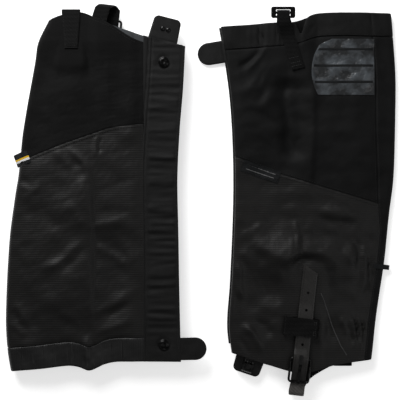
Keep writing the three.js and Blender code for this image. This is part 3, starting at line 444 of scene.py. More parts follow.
class Gaiter:
    """One gaiter's surfaces, in its own frame in mm, and the way from there into the row frame in metres."""

    def __init__(self, side):
        self.side = side
        self.lie = LIE[side]
        self.front = through(self.lie["front"], LENGTH, WIDTH)
        self.back = through(self.lie["back"], LENGTH, WIDTH)
        self.foot = through(self.lie["foot"], WIDTH, LENGTH)
        self.calf = through(self.lie["calf"], WIDTH, LENGTH)
        self.outer_seam = through(OUTER_SEAM, WIDTH, LENGTH)
        self.inner_seam = through(INNER_SEAM, WIDTH, LENGTH)
        self.strip = through(BACK_STRIP, LENGTH)
        joint = next(j for j in frame["joints"] if j["name"] == f"{side}_front_flap_swing")
        self.sign = 1.0 if side == "left" else -1.0
        hinge = np.array([FLAP_REACH, LENGTH / 2, FLAP_LEVEL])
        self.origin = np.array(joint["pos_m"]) * 1000 - self.sign * hinge
        heel = next(j for j in frame["joints"] if j["name"] == f"{side}_buckle_frame_swing")
        self.heel = (np.array(heel["pos_m"]) * 1000 - self.origin) * self.sign
        cinch = next(j for j in frame["joints"] if j["name"] == f"{side}_cinch_swing")
        self.cinch = (np.array(cinch["pos_m"]) * 1000 - self.origin) * self.sign

    def world(self, points):
        return (self.origin + self.sign * np.asarray(points, float)) / 1000

    def hem_edge(self, x):
        return self.calf(x) - HEM_HEIGHT

    def outer_calf(self, x):
        """Calf edge of the outer side, which the cinch draws in: a notch beside its tail, or a tuck."""
        if self.side == "left":
            return self.calf(x) - 17 * np.exp(-((x - 88.5) / 4.6) ** 2) - 3 * np.exp(-((x - 80) / 14) ** 2)
        away = np.abs(x - self.cinch[0])
        return self.calf(x) - 18 * (1 - smooth(away, 17, 31))

    def back_rim(self, y):
        return self.back(y) - BACK_FOLD

    def front_rim(self, y):
        return self.front(y) + FRONT_INSET + FRONT_FOLD

    def relief(self, face, x, y):
        """Height of the folds and creases above the smooth cloth, positive outwards."""
        x, y = np.broadcast_arrays(np.asarray(x, float), np.asarray(y, float))
        total = sum((f(x, y) for f in FOLDS[(self.side, face)]), np.zeros(x.shape))
        total = total * FOLD_GAIN[self.side]
        broad, fine, wide = FINE[self.side]
        up = (self.side == "left") == (face == "outer")
        total = total + (0.42 if up else 0.25) * broad(x, y) + 0.09 * fine(x, y) + 0.55 * wide(x, y)
        seam = (self.outer_seam if face == "outer" else self.inner_seam)(x)
        calf_part = smooth(y, seam - 8, seam + 8) if face == "outer" else 1 - smooth(y, seam - 8, seam + 8)
        total = total * (1 - 0.25 * calf_part)
        # the hem: gathered on its elastic
        gather = 0.55 * np.sin(2 * np.pi * x / 7.4 + 1.3 * np.sin(x / 11) + 0.5 * broad(x, y * 0.2))
        gather = gather + 0.35 * np.sin(2 * np.pi * x / 4.9 + 2.0 * np.sin(x / 17))
        edge = self.hem_edge(x)
        in_hem = smooth(y, edge - 1, edge + 6) * (1 - 0.6 * smooth(y, self.calf(x) - 7, self.calf(x)))
        if self.side == "right":
            amount = 0.9 * smooth(x, 56, 76)
        else:
            amount = 2.6 * np.exp(-((x - 60) / 22.0) ** 2) + 0.12
        total = total + gather * in_hem * amount
        # stitched lines pull the cloth down
        for line in self.seam_lines(face):
            total = total - line(x, y)
        return total

    def seam_lines(self, face):
        def along_y(curve, depth, width):
            return lambda x, y: depth * np.exp(-((y - curve(x)) / width) ** 2)

        def along_x(curve, depth, width, low=-50, high=500):
            return lambda x, y: (depth * np.exp(-((x - curve(y)) / width) ** 2)
                                 * smooth(y, low, low + 8) * (1 - smooth(y, high - 8, high)))

        lines = [along_y(self.hem_edge, 0.5, 1.4)]
        if face == "outer":
            lines += [along_y(self.outer_seam, 0.45, 1.3),
                      along_y(lambda x: self.outer_seam(x) - 4.5, 0.35, 1.2),
                      along_x(lambda y: self.back(y) - self.strip(y), 0.8, 1.4),
                      along_x(lambda y: self.back(y) - self.strip(y) - 4, 0.35, 1.1)]
        else:
            stitch = through(HINGE_STITCH)
            lines += [along_y(self.inner_seam, 0.35, 1.3),
                      along_y(lambda x: self.inner_seam(x) + 4.5, 0.35, 1.2),
                      along_x(stitch, 0.75, 0.9), along_x(lambda y: stitch(y) - 4.4, 0.75, 0.9)]
        return lines

    def hardware(self, face, x, y):
        """1 where a fitting lies against the cloth and holds it at its CAD height, else 0."""
        strap = smooth(x, 56, 70) * (1 - smooth(x, 112, 126)) * (1 - smooth(y, 124, 142))
        cinch = smooth(x, 36, 48) * (1 - smooth(x, 96, 110)) * smooth(y, 352, 372)
        anchor = smooth(x, 118, 128) * (1 - smooth(x, 156, 166)) * (1 - smooth(y, 54, 72))
        foot = 1 - smooth(y, 24, 60)
        if face == "outer":
            return np.maximum(np.maximum(strap, cinch), 0.75 * foot)
        return np.maximum(anchor, foot * smooth(x, 50, 70))

    def outer_z(self, x, y):
        """Outer face of the outer side."""
        x, y = np.broadcast_arrays(np.asarray(x, float), np.asarray(y, float))
        held = self.hardware("outer", x, y)
        near_front, near_back = smooth(x - self.front(y), 4, 34), smooth(self.back(y) - x, 2, 44)
        folds = self.relief("outer", x, y) * near_edge(x - self.front(y), self.back(y) - x)
        if self.side == "left":
            sag = (2.6 * (1 - held) * near_front + 3.2 * (1 - near_back)) * (1 - 0.35 * held)
            return DEPTH - sag + folds * (1 - 0.72 * held)
        drop = 7.6 * (1 - held) * near_front
        return DEPTH + drop + 0.35 * folds * (1 - held) - 0.5 * (1 - held)

    def inner_z(self, x, y):
        """Outer face of the inner side: small z is further out."""
        x, y = np.broadcast_arrays(np.asarray(x, float), np.asarray(y, float))
        held = self.hardware("inner", x, y)
        ramp = FLAP_LEVEL * (1 - smooth(x, FLAP_REACH, FLAP_REACH + 18))
        over = float(self.foot(ANCHOR_X)) + ANCHOR_LENGTH + 27
        lift = smooth(x, ANCHOR_X - 33.5, ANCHOR_X - 19.5) * (1 - smooth(y, over, over + 27))
        level = np.maximum(ramp, 1.9 * lift)
        folds = self.relief("inner", x, y) * near_edge(100, self.back(y) - x)
        if self.side == "left":
            return level + 0.25 + 0.12 * np.abs(folds)
        away = smooth(x, FLAP_REACH, FLAP_REACH + 30)
        sag = 3.0 * (1 - held) * away + 2.6 * (1 - smooth(self.back(y) - x, 2, 44)) * (1 - lift)
        calm = 0.35 + 0.65 * smooth(x, FLAP_REACH - 4, FLAP_REACH + 14)
        return level + sag - folds * (1 - 0.8 * held) * calm


def near_edge(from_front, from_back):
    """Folds fade a little towards the two folded edges."""
    return (0.25 + 0.75 * smooth(from_front, 0, 16)) * (0.35 + 0.65 * smooth(from_back, 4, 22))


GAITERS = {side: Gaiter(side) for side in ("left", "right")}


# ---- Meshes ----
def solid_from_skins(out, inn):
    """Vertices and faces of the closed slab between two (rows, columns, 3) skins."""
    rows, cols = out.shape[:2]
    n = rows * cols
    index = np.arange(n).reshape(rows, cols)
    a, b, c, d = index[:-1, :-1], index[:-1, 1:], index[1:, 1:], index[1:, :-1]
    quads = np.stack([a, b, c, d], -1).reshape(-1, 4)
    faces = [quads, quads[:, ::-1] + n]
    for line in (index[0], index[:, -1], index[-1][::-1], index[::-1, 0]):
        p, q = line[:-1], line[1:]
        faces.append(np.stack([q, p, p + n, q + n], -1))
    faces = np.concatenate(faces)
    verts = np.concatenate([out.reshape(-1, 3), inn.reshape(-1, 3)])
    if signed_volume(verts, faces) < 0:
        faces = faces[:, ::-1]
    return verts, faces


def signed_volume(verts, faces):
    p = verts - verts.mean(0)
    a, b, c, d = (p[faces[:, i]] for i in range(4))
    return (np.einsum("ij,ij->i", a, np.cross(b, c)) + np.einsum("ij,ij->i", a, np.cross(c, d))).sum() / 6


def add_piece(name, verts, faces, material, body, slot, sharp=40):
    mesh = bpy.data.meshes.new(name)
    faces = [tuple(int(i) for i in f) for f in faces]
    mesh.from_pydata([tuple(v) for v in np.asarray(verts, float)], [], faces)
    mesh.update()
    mesh.polygons.foreach_set("use_smooth", [True] * len(mesh.polygons))
    mesh.set_sharp_from_angle(angle=math.radians(sharp))
    piece = bpy.data.objects.new(name, mesh)
    bpy.context.scene.collection.objects.link(piece)
    piece.data.materials.append(material)
    if body:
        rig.ride(piece, body)
    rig.slot(piece, slot)
    return piece


def grid_normals(points):
    du = np.gradient(points, axis=0)
    dv = np.gradient(points, axis=1)
    n = np.cross(du, dv)
    return n / np.maximum(np.linalg.norm(n, axis=-1, keepdims=True), 1e-9)


def thick_skins(points, thickness, outward, roll=0.3):
    """Outer and inner skins of a cloth piece; its rims are rolled in a little, as a sewn edge is."""
    n = grid_normals(points)
    middle = n[n.shape[0] // 2, n.shape[1] // 2]
    if np.dot(middle, outward) < 0:
        n = -n
    rows, cols = points.shape[:2]
    edge = np.zeros((rows, cols))
    edge[0], edge[-1], edge[:, 0], edge[:, -1] = 1, 1, 1, 1
    out = points - n * (roll * edge)[..., None]
    inn = points - n * (thickness - roll * edge)[..., None]
    return out, inn


def cloth_piece(g, name, points, thickness, outward, material, body, slot, inside=None):
    out, inn = thick_skins(points, thickness, np.array(outward, float), 0.14)
    verts, faces = solid_from_skins(g.world(out), g.world(inn))
    piece = add_piece(name, verts, faces, material, body, slot)
    if inside:
        line_inside(piece, inside, out.shape)
    return piece


def line_inside(piece, material, shape):
    """Gives the inner skin of a slab its own material."""
    piece.data.materials.append(material)
    count = (shape[0] - 1) * (shape[1] - 1)
    index = np.zeros(len(piece.data.polygons), dtype=np.int32)
    inner = np.ones((shape[0] - 1, shape[1] - 1), dtype=np.int32)
    inner[:, :3], inner[:, -3:] = 0, 0
    index[count:2 * count] = inner.ravel()
    piece.data.polygons.foreach_set("material_index", index)


def flat_area(points):
    """Area of a (rows, columns, 3) grid in square mm."""
    d1 = points[1:, 1:] - points[:-1, :-1]
    d2 = points[1:, :-1] - points[:-1, 1:]
    return float(np.linalg.norm(np.cross(d1, d2), axis=-1).sum() / 2)


def declare_sheet(piece, smooth_points, held, rests_on=(), with_pieces=()):
    """The flat cut of a piece: its size along the grid's middle lines, and its area without folds."""
    rows, cols = smooth_points.shape[:2]
    across = np.linalg.norm(np.diff(smooth_points[rows // 2], axis=0), axis=1).sum() / 1000
    along = np.linalg.norm(np.diff(smooth_points[:, cols // 2], axis=0), axis=1).sum() / 1000
    area = flat_area(smooth_points) / 1e6
    width, length = max(across, 1.02 * area / along), along
    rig.sheet(piece, flat=(round(width, 4), round(length, 4)), held=held, area=area, rests_on=rests_on,
             with_pieces=with_pieces)


# ---- Materials ----
def new_material(name):
    m = bpy.data.materials.new(name)
    m.use_nodes = True
    nodes, links = m.node_tree.nodes, m.node_tree.links
    shader = nodes["Principled BSDF"]
    place = nodes.new("ShaderNodeTexCoord")
    return m, nodes, links, shader, place.outputs["Object"]


def noise_node(nodes, links, where, scale, detail=3.0, rough=0.55):
    n = nodes.new("ShaderNodeTexNoise")
    n.inputs["Scale"].default_value = scale
    n.inputs["Detail"].default_value = detail
    n.inputs["Roughness"].default_value = rough
    links.new(where, n.inputs["Vector"])
    return n.outputs["Fac"]


def wave_node(nodes, links, where, period, axis, distort=0.0, profile="SIN"):
    n = nodes.new("ShaderNodeTexWave")
    n.wave_type, n.bands_direction, n.wave_profile = "BANDS", axis, profile
    n.inputs["Scale"].default_value = 0.31416 / period
    n.inputs["Distortion"].default_value = distort
    n.inputs["Detail"].default_value = 2.0
    n.inputs["Detail Scale"].default_value = 0.6
    links.new(where, n.inputs["Vector"])
    return n.outputs["Fac"]


def math_node(nodes, links, operation, a, b):
    n = nodes.new("ShaderNodeMath")
    n.operation = operation
    for socket, value in zip(n.inputs, (a, b)):
        if isinstance(value, (int, float)):
            socket.default_value = value
        else:
            links.new(value, socket)
    return n.outputs[0]


def ramp(nodes, links, fac, low, high, at=(0.0, 1.0)):
    n = nodes.new("ShaderNodeValToRGB")
    n.color_ramp.elements[0].color, n.color_ramp.elements[1].color = (*low, 1), (*high, 1)
    n.color_ramp.elements[0].position, n.color_ramp.elements[1].position = at
    links.new(fac, n.inputs["Fac"])
    return n.outputs["Color"]


def add_bump(nodes, links, shader, height, distance, strength=1.0):
    n = nodes.new("ShaderNodeBump")
    n.inputs["Strength"].default_value = strength
    n.inputs["Distance"].default_value = distance
    links.new(height, n.inputs["Height"])
    links.new(n.outputs["Normal"], shader.inputs["Normal"])


def set_shader(shader, roughness, specular, metallic=0.0, sheen=0.0, coat=0.0):
    shader.inputs["Roughness"].default_value = roughness
    shader.inputs["Specular IOR Level"].default_value = specular
    shader.inputs["Metallic"].default_value = metallic
    shader.inputs["Sheen Weight"].default_value = sheen
    shader.inputs["Sheen Roughness"].default_value = 0.5
    shader.inputs["Coat Weight"].default_value = coat


def softshell(name, low, high):
    """Smooth stretch-woven cloth: a fine plain weave, cloudy wear."""
    m, nodes, links, shader, place = new_material(name)
    warp = wave_node(nodes, links, place, 0.0011, "X", 0.4)
    weft = wave_node(nodes, links, place, 0.0011, "Y", 0.4)
    weave = math_node(nodes, links, "MULTIPLY", warp, weft)
    cloud = noise_node(nodes, links, place, 34, 4)
    grain = noise_node(nodes, links, place, 900, 2)
    tone = math_node(nodes, links, "ADD", math_node(nodes, links, "MULTIPLY", cloud, 0.75),
                     math_node(nodes, links, "MULTIPLY", grain, 0.3))
    links.new(ramp(nodes, links, tone, low, high, (0.3, 0.8)), shader.inputs["Base Color"])
    height = math_node(nodes, links, "ADD", weave, math_node(nodes, links, "MULTIPLY", grain, 0.6))
    add_bump(nodes, links, shader, height, 0.00016)
    set_shader(shader, 0.62, 0.1, sheen=0.0)
    return m


def ripstop(name, low, high, across="Y"):
    """Ribbed ripstop: fine raised lines across the leg, a wider grid, a slight shine on the ribs."""
    m, nodes, links, shader, place = new_material(name)
    rib = wave_node(nodes, links, place, 0.0028, across, 0.9)
    thread = wave_node(nodes, links, place, 0.0009, "X", 0.5)
    grid = wave_node(nodes, links, place, 0.0112, "X", 0.5)
    grid = math_node(nodes, links, "POWER", grid, 14.0)
    cloud = noise_node(nodes, links, place, 26, 4)
    relief = math_node(nodes, links, "ADD", rib, math_node(nodes, links, "MULTIPLY", thread, 0.25))
    relief = math_node(nodes, links, "ADD", relief, math_node(nodes, links, "MULTIPLY", grid, 0.3))
    tone = math_node(nodes, links, "ADD", math_node(nodes, links, "MULTIPLY", rib, 0.3),
                     math_node(nodes, links, "MULTIPLY", cloud, 0.8))
    links.new(ramp(nodes, links, tone, low, high, (0.25, 0.85)), shader.inputs["Base Color"])
    shine = math_node(nodes, links, "SUBTRACT", 0.56, math_node(nodes, links, "MULTIPLY", rib, 0.08))
    links.new(shine, shader.inputs["Roughness"])
    add_bump(nodes, links, shader, relief, 0.00009)
    set_shader(shader, 0.5, 0.25, sheen=0.0)
    return m


def plain_weave(name, low, high, specular=0.15):
    """Dense hard-wearing plain weave, matte."""
    m, nodes, links, shader, place = new_material(name)
    warp = wave_node(nodes, links, place, 0.0014, "X", 0.5)
    weft = wave_node(nodes, links, place, 0.0014, "Y", 0.5)
    weave = math_node(nodes, links, "MAXIMUM", warp, weft)
    cloud = noise_node(nodes, links, place, 22, 5)
    tone = math_node(nodes, links, "ADD", math_node(nodes, links, "MULTIPLY", cloud, 0.8),
                     math_node(nodes, links, "MULTIPLY", weave, 0.25))
    links.new(ramp(nodes, links, tone, low, high, (0.3, 0.85)), shader.inputs["Base Color"])
    add_bump(nodes, links, shader, weave, 0.0002)
    set_shader(shader, 0.58, specular, sheen=0.0)
    return m


def webbing(name, low, high, axis="Y"):
    """Narrow woven tape: close ribs across it and a herringbone of finer threads."""
    m, nodes, links, shader, place = new_material(name)
    rib = wave_node(nodes, links, place, 0.0016, axis, 0.3)
    side = wave_node(nodes, links, place, 0.0022, "DIAGONAL", 0.3)
    weave = math_node(nodes, links, "ADD", rib, math_node(nodes, links, "MULTIPLY", side, 0.5))
    cloud = noise_node(nodes, links, place, 60, 3)
    tone = math_node(nodes, links, "ADD", math_node(nodes, links, "MULTIPLY", weave, 0.4),
                     math_node(nodes, links, "MULTIPLY", cloud, 0.5))
    links.new(ramp(nodes, links, tone, low, high, (0.2, 0.95)), shader.inputs["Base Color"])
    add_bump(nodes, links, shader, weave, 0.0003)
    set_shader(shader, 0.6, 0.07, sheen=0.0)
    return m


def coated(name, low, high, roughness=0.42, specular=0.35, grain_scale=420):
    """Coated strap or tab: fine leathery grain, scuffs."""
    m, nodes, links, shader, place = new_material(name)
    cells = nodes.new("ShaderNodeTexVoronoi")
    cells.feature = "DISTANCE_TO_EDGE"
    cells.inputs["Scale"].default_value = grain_scale
    links.new(place, cells.inputs["Vector"])
    scuff = noise_node(nodes, links, place, 90, 6, 0.7)
    tone = math_node(nodes, links, "ADD", math_node(nodes, links, "MULTIPLY", scuff, 0.9),
                     math_node(nodes, links, "MULTIPLY", cells.outputs["Distance"], 0.8))
    links.new(ramp(nodes, links, tone, low, high, (0.3, 0.85)), shader.inputs["Base Color"])
    wear = math_node(nodes, links, "ADD", roughness - 0.1, math_node(nodes, links, "MULTIPLY", scuff, 0.25))
    links.new(wear, shader.inputs["Roughness"])
    add_bump(nodes, links, shader, cells.outputs["Distance"], 0.00025, 0.7)
    set_shader(shader, roughness, specular)
    return m


def foil(name, low, high):
    """Silvery coated patch, crinkled so that it catches the light unevenly."""
    m, nodes, links, shader, place = new_material(name)
    crinkle = noise_node(nodes, links, place, 62, 3, 0.5)
    fine = noise_node(nodes, links, place, 800, 2)
    links.new(ramp(nodes, links, crinkle, low, high, (0.42, 0.66)), shader.inputs["Base Color"])
    height = math_node(nodes, links, "ADD", crinkle, math_node(nodes, links, "MULTIPLY", fine, 0.02))
    add_bump(nodes, links, shader, height, 0.004)
    set_shader(shader, 0.36, 0.5)
    return m


def metal(name, low, high, roughness, metallic=1.0):
    """Pressed metal with a worn finish."""
    m, nodes, links, shader, place = new_material(name)
    wear = noise_node(nodes, links, place, 260, 5, 0.7)
    brush = nodes.new("ShaderNodeMapping")
    brush.inputs["Scale"].default_value = (900, 60, 60)
    links.new(place, brush.inputs["Vector"])
    lines = noise_node(nodes, links, brush.outputs["Vector"], 3, 2)
    links.new(ramp(nodes, links, wear, low, high, (0.4, 0.75)), shader.inputs["Base Color"])
    rough = math_node(nodes, links, "ADD", roughness - 0.08, math_node(nodes, links, "MULTIPLY", wear, 0.2))
    links.new(rough, shader.inputs["Roughness"])
    add_bump(nodes, links, shader, lines, 0.00004, 0.5)
    set_shader(shader, roughness, 0.5, metallic)
    return m


def pile(name, low, high, scale):
    """Hook or loop pile."""
    m, nodes, links, shader, place = new_material(name)
    fuzz = noise_node(nodes, links, place, scale, 6, 0.8)
    links.new(ramp(nodes, links, fuzz, low, high, (0.35, 0.7)), shader.inputs["Base Color"])
    add_bump(nodes, links, shader, fuzz, 0.0008)
    set_shader(shader, 0.9, 0.1, sheen=0.05)
    return m


def grey(value, warm=0.0):
    return (value * (1 + warm), value, value * (1 - warm))


MATERIAL = {
    "softshell": softshell("Softshell", grey(0.0022, -0.02), grey(0.0062, -0.02)),
    "ripstop": ripstop("Ripstop", grey(0.0016, 0.06), grey(0.0050, 0.08)),
    "kick": plain_weave("KickPanel", grey(0.0020), grey(0.0052), 0.07),
    "hem_plain": softshell("HemPlain", grey(0.0028), grey(0.0080)),
    "hem": ripstop("HemCloth", grey(0.0032), grey(0.0085), "X"),
    "reinforced": plain_weave("PlainWeave", grey(0.0030), grey(0.0070)),
    "lining": softshell("Lining", grey(0.035, -0.06), grey(0.075, -0.06)),
    "webbing": webbing("Webbing", grey(0.0016), grey(0.0055)),
    "webbing_light": webbing("WebbingInner", grey(0.03, 0.06), grey(0.11, 0.05), "X"),
    "hook_and_loop": pile("HookAndLoop", grey(0.003), grey(0.012), 1400),
    "coated_strap": coated("CoatedStrap", grey(0.006, 0.07), grey(0.013, 0.08)),
    "coated_tab": coated("CoatedTab", grey(0.0025), grey(0.008), 0.46, 0.2),
    "plastic": coated("Acetal", grey(0.0012), grey(0.003), 0.5, 0.06, 900),
    "dark_metal": metal("DarkMetal", grey(0.008), grey(0.04), 0.3),
    "steel": metal("Steel", grey(0.012), grey(0.06), 0.26),
    "thread": coated("Thread", grey(0.006), grey(0.013), 0.6, 0.2, 1500),
    "thread_light": coated("ThreadLight", grey(0.022), grey(0.05), 0.5, 0.2, 1500),
    "reflective": foil("Reflective", grey(0.008, -0.12), grey(0.06, -0.12)),
    "label": plain_weave("Label", grey(0.003, -0.12), grey(0.007, -0.12)),
    "label_pale": plain_weave("LabelPale", grey(0.08), grey(0.16)),
    "label_white": plain_weave("LabelWhite", grey(0.55), grey(0.75)),
    "label_yellow": plain_weave("LabelYellow", (0.5, 0.3, 0.01), (0.75, 0.45, 0.02)),
}

# ---- The leg tube ----
ROWS = (130, 120, 20)  # rows of faces below the diagonal seam, above it and in the hem


def fixed_point(g, x_of, y_of):
    """x and y of a column of points at which x depends on y and y on x."""
    y = np.full(1, LENGTH / 2)
    for _ in range(8):
        x = x_of(y)
        y = y_of(x)
    return float(x[0]), float(y[0])


def column_points(g, x_of, y_curves):
    """(x, y) up one column of the tube, through the row curves."""
    marks = []
    for curve in y_curves:
        marks.append(fixed_point(g, x_of, curve)[1])
    ys = [np.linspace(a, b, n + 1)[:-1] for a, b, n in zip(marks[:-1], marks[1:], ROWS)]
    y = np.concatenate([*ys, [marks[-1]]])
    return x_of(y), y


def tube_columns(g, folded):
    """Columns of the tube's outer face from the flap's hinge line round the back to the placket.

    Each is (share of the way from the outer seam to the inner seam, points)."""
    columns = []
    seam_mark = {}

    def add(kind, share, x_of, shape):
        middle = lambda x: mix(g.outer_seam(x), g.inner_seam(x), share)
        foot = (lambda x: g.foot(x) + near_cut(g, x)) if kind == "inner" else g.foot
        calf = g.outer_calf if kind == "outer" else g.calf
        x, y = column_points(g, x_of, (foot, middle, g.hem_edge, calf))
        columns.append(shape(x, y))
        seam_mark.setdefault(kind, []).append(len(columns) - 1)

    def level(face, x, y):
        if folded:
            return g.outer_z(x, y) if face == "outer" else g.inner_z(x, y)
        return np.full(x.shape, DEPTH if face == "outer" else 0.0)

    def inner_shape(x, y):
        return np.stack([x, y, level("inner", x, y)], -1)

    def outer_shape(x, y):
        return np.stack([x, y, level("outer", x, y)], -1)

    for t in np.linspace(0, 1, 74):
        add("inner", 1, lambda y, t=t: mix(FLAP_REACH + 0.05 + 0 * y, g.back_rim(y), t), inner_shape)

    def back_shape(turn):
        def shape(x, y):
            rim = g.back_rim(y)
            low, high = level("inner", rim, y), level("outer", rim, y)
            half = (high - low) / 2
            return np.stack([rim + BACK_FOLD * np.sin(turn), y, low + half + half * np.cos(turn)], -1)
        return shape

    for i, turn in enumerate(np.linspace(np.pi, 0, 13)[1:-1]):
        add("back", turn / np.pi, lambda y, turn=turn: g.back_rim(y) + BACK_FOLD * np.sin(turn), back_shape(turn))
    for t in np.linspace(0, 1, 12):
        add("strip", 0, lambda y, t=t: mix(g.back_rim(y), g.back(y) - g.strip(y), t), outer_shape)
    for t in np.linspace(0, 1, 82)[1:]:
        add("outer", 0, lambda y, t=t: mix(g.back(y) - g.strip(y), g.front_rim(y), t), outer_shape)

    def front_shape(turn):
        def shape(x, y):
            rim = g.front_rim(y)
            high = level("outer", rim, y)
            half = (high - PLACKET_LEVEL) / 2
            return np.stack([rim - FRONT_FOLD * np.sin(turn), y, PLACKET_LEVEL + half + half * np.cos(turn)], -1)
        return shape

    for turn in np.linspace(0, np.pi, 11)[1:]:
        add("front", 0, lambda y, turn=turn: g.front_rim(y) - FRONT_FOLD * np.sin(turn), front_shape(turn))
    return np.stack(columns, 1), seam_mark


def near_cut(g, x):
    """The right gaiter's upper layer is pulled back a little at the foot end, and its lining shows."""
    if g.side == "left":
        return np.zeros(np.shape(x))
    return 9.5 * (1 - smooth(x, 58, 104))


def leg_tube(g):
    side = g.side
    points, marks = tube_columns(g, True)
    plain, _ = tube_columns(g, False)
    r1, r2 = ROWS[0], ROWS[0] + ROWS[1]
    turn = marks["inner"][-1] + 6
    inner = slice(0, turn + 1)
    back = slice(turn, marks["strip"][-1] + 1)
    outer = slice(marks["strip"][-1], points.shape[1])
    table = [
        ("inner_ankle_cloth", slice(0, r1 + 1), inner, (0, 0, -1), "kick", "inner_ankle_panel"),
        ("inner_calf_cloth", slice(r1, r2 + 1), inner, (0, 0, -1), "ripstop", "inner_calf_panel"),
        ("back_cloth", slice(0, r2 + 1), back, (1, 0, 0), "softshell", "back_strip"),
        ("outer_ankle_cloth", slice(0, r1 + 1), outer, (0, 0, 1), "ripstop", "outer_ankle_panel"),
        ("outer_calf_cloth", slice(r1, r2 + 1), outer, (0, 0, 1), "softshell", "outer_calf_panel"),
        ("hem_cloth", slice(r2, None), slice(None), None, "hem", "calf_hem"),
    ]
    pieces = {}
    for name, rows, cols, outward, material, node in table:
        grid = points[rows, cols].copy()
        thickness = CLOTH
        if outward is None:
            outward = (1, 0, 0)
            thickness = HEM_THICK
            piece = hem_piece(g, f"{side}_{name}", grid, MATERIAL[material if side == "right" else "hem_plain"])
        else:
            slot = "reinforced" if material == "kick" else material
            piece = cloth_piece(g, f"{side}_{name}", grid, thickness, outward, MATERIAL[material], "shells", slot,
                                MATERIAL["lining"])
        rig.replaces(piece, f"{side}_{node}")
        declare_sheet(piece, plain[rows, cols], "laid")
        pieces[name] = piece
    return pieces


HEM_TO_FLAP = 0.5  # the hem's ends reach this much nearer the flap than in CAD
HEM_SUNK = 0.6     # its sewn edge is drawn in by this
HEM_BACK_COLUMN = 79  # column of the hem's grid at the back fold, where outwards is +x


def hem_piece(g, name, grid, material):
    """The hem runs round the whole calf edge; its normals are turned outwards from the tube's middle."""
    n = grid_normals(grid)
    if n[2, HEM_BACK_COLUMN, 0] < 0:
        n = -n
    grid = grid.copy()
    grid[:, (0, -1), 0] -= HEM_TO_FLAP
    edge = np.zeros(grid.shape[:2])
    edge[0], edge[-1], edge[:, 0], edge[:, -1] = 1, 1, 1, 1
    crown = np.sin(np.linspace(0, np.pi, grid.shape[0]))[:, None] * 0.35
    sewn = np.zeros(grid.shape[:2])
    sewn[0] = HEM_SUNK
    out = grid + n * (crown - 0.45 * edge - sewn)[..., None]
    inn = grid - n * (HEM_THICK - 0.45 * edge)[..., None]
    verts, faces = solid_from_skins(g.world(out), g.world(inn))
    return add_piece(name, verts, faces, material, "shells", "softshell")


# ---- Strips, plates and turned parts ----
def spaced_curve(points, count):
    """Catmull-Rom curve through points, at count places."""
    p = np.array(points, float)
    p = np.concatenate([[2 * p[0] - p[1]], p, [2 * p[-1] - p[-2]]])
    n = len(p) - 3
    t = np.linspace(0, n, count)
    i = np.minimum(t.astype(int), n - 1)
    s = (t - i)[:, None]
    a, b, c, d = p[i], p[i + 1], p[i + 2], p[i + 3]
    return 0.5 * (2 * b + (c - a) * s + (2 * a - 5 * b + 4 * c - d) * s ** 2 + (3 * b - a - 3 * c + d) * s ** 3)


def strip_grid(centres, halves, count, lateral):
    """Grid of points along a band: its centre line and the vector to one edge, both smoothed."""
    c, h = spaced_curve(centres, count), spaced_curve(halves, count)
    across = np.linspace(-1, 1, lateral)
    grid = c[:, None] + h[:, None] * across[None, :, None]
    return grid, c, h


def strip_skins(grid, thickness, roll=0.25):
    n = grid_normals(grid)
    edge = np.zeros(grid.shape[:2])
    edge[:, 0], edge[:, -1], edge[0], edge[-1] = 1, 1, 1, 1
    half = (thickness / 2 - roll * edge)[..., None]
    return grid + n * half, grid - n * half


def strip_piece(to_world, name, centres, halves, thickness, material, body, slot, count=60, lateral=9, roll=0.25):
    grid, _, _ = strip_grid(centres, halves, count, lateral)
    out, inn = strip_skins(grid, thickness, roll)
    verts, faces = solid_from_skins(to_world(out), to_world(inn))
    return add_piece(name, verts, faces, material, body, slot)


def turned_piece(to_world, name, profile, material, body, slot, segments=40):
    """Solid of revolution about z from (radius, height) pairs that start and end on the axis."""
    angle = np.arange(segments) * 2 * np.pi / segments
    rings, verts, faces = [], [], []
    for radius, height in profile:
        start = len(verts)
        if radius < 1e-6:
            verts.append((0, 0, height))
            rings.append([start] * segments)
        else:
            verts += [(radius * np.cos(a), radius * np.sin(a), height) for a in angle]
            rings.append(list(range(start, start + segments)))
    for low, high in zip(rings[:-1], rings[1:]):
        for i in range(segments):
            j = (i + 1) % segments
            face = [low[i], low[j], high[j], high[i]]
            faces.append(tuple(dict.fromkeys(face)))
    verts = to_world(np.array(verts, float))
    total = 0.0
    for f in faces:
        for k in range(1, len(f) - 1):
            total += np.dot(verts[f[0]], np.cross(verts[f[k]], verts[f[k + 1]]))
    if total < 0:
        faces = [f[::-1] for f in faces]
    return add_piece(name, verts, faces, material, body, slot)


def plate_piece(to_world, name, outlines, low, high, bevel, material, body, slot):
    """Bevelled plate between two heights; the first outline is its edge and the others are holes."""
    curve = bpy.data.curves.new(name, "CURVE")
    curve.dimensions, curve.fill_mode = "2D", "BOTH"
    curve.extrude, curve.bevel_depth, curve.bevel_resolution = (high - low) / 2 - bevel, bevel, 2
    curve.offset = -bevel
    for outline in outlines:
        spline = curve.splines.new("POLY")
        spline.points.add(len(outline) - 1)
        spline.points.foreach_set("co", [v for x, y in outline for v in (x, y, 0, 1)])
        spline.use_cyclic_u = True
    holder = bpy.data.objects.new(name, curve)
    mesh = bpy.data.meshes.new_from_object(holder)
    verts = np.array([v.co for v in mesh.vertices], float) + (0, 0, (high + low) / 2)
    faces = [tuple(p.vertices) for p in mesh.polygons]
    bpy.data.curves.remove(curve)
    bpy.data.meshes.remove(mesh)
    placed = to_world(verts)
    if np.linalg.det(np.array([to_world(np.eye(3)[i:i + 1])[0] - to_world(np.zeros((1, 3)))[0]
                               for i in range(3)])) < 0:
        faces = [f[::-1] for f in faces]
    piece = add_piece(name, placed, faces, material, None, slot, 30)
    weld(piece)
    if body:
        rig.ride(piece, body)
    return piece


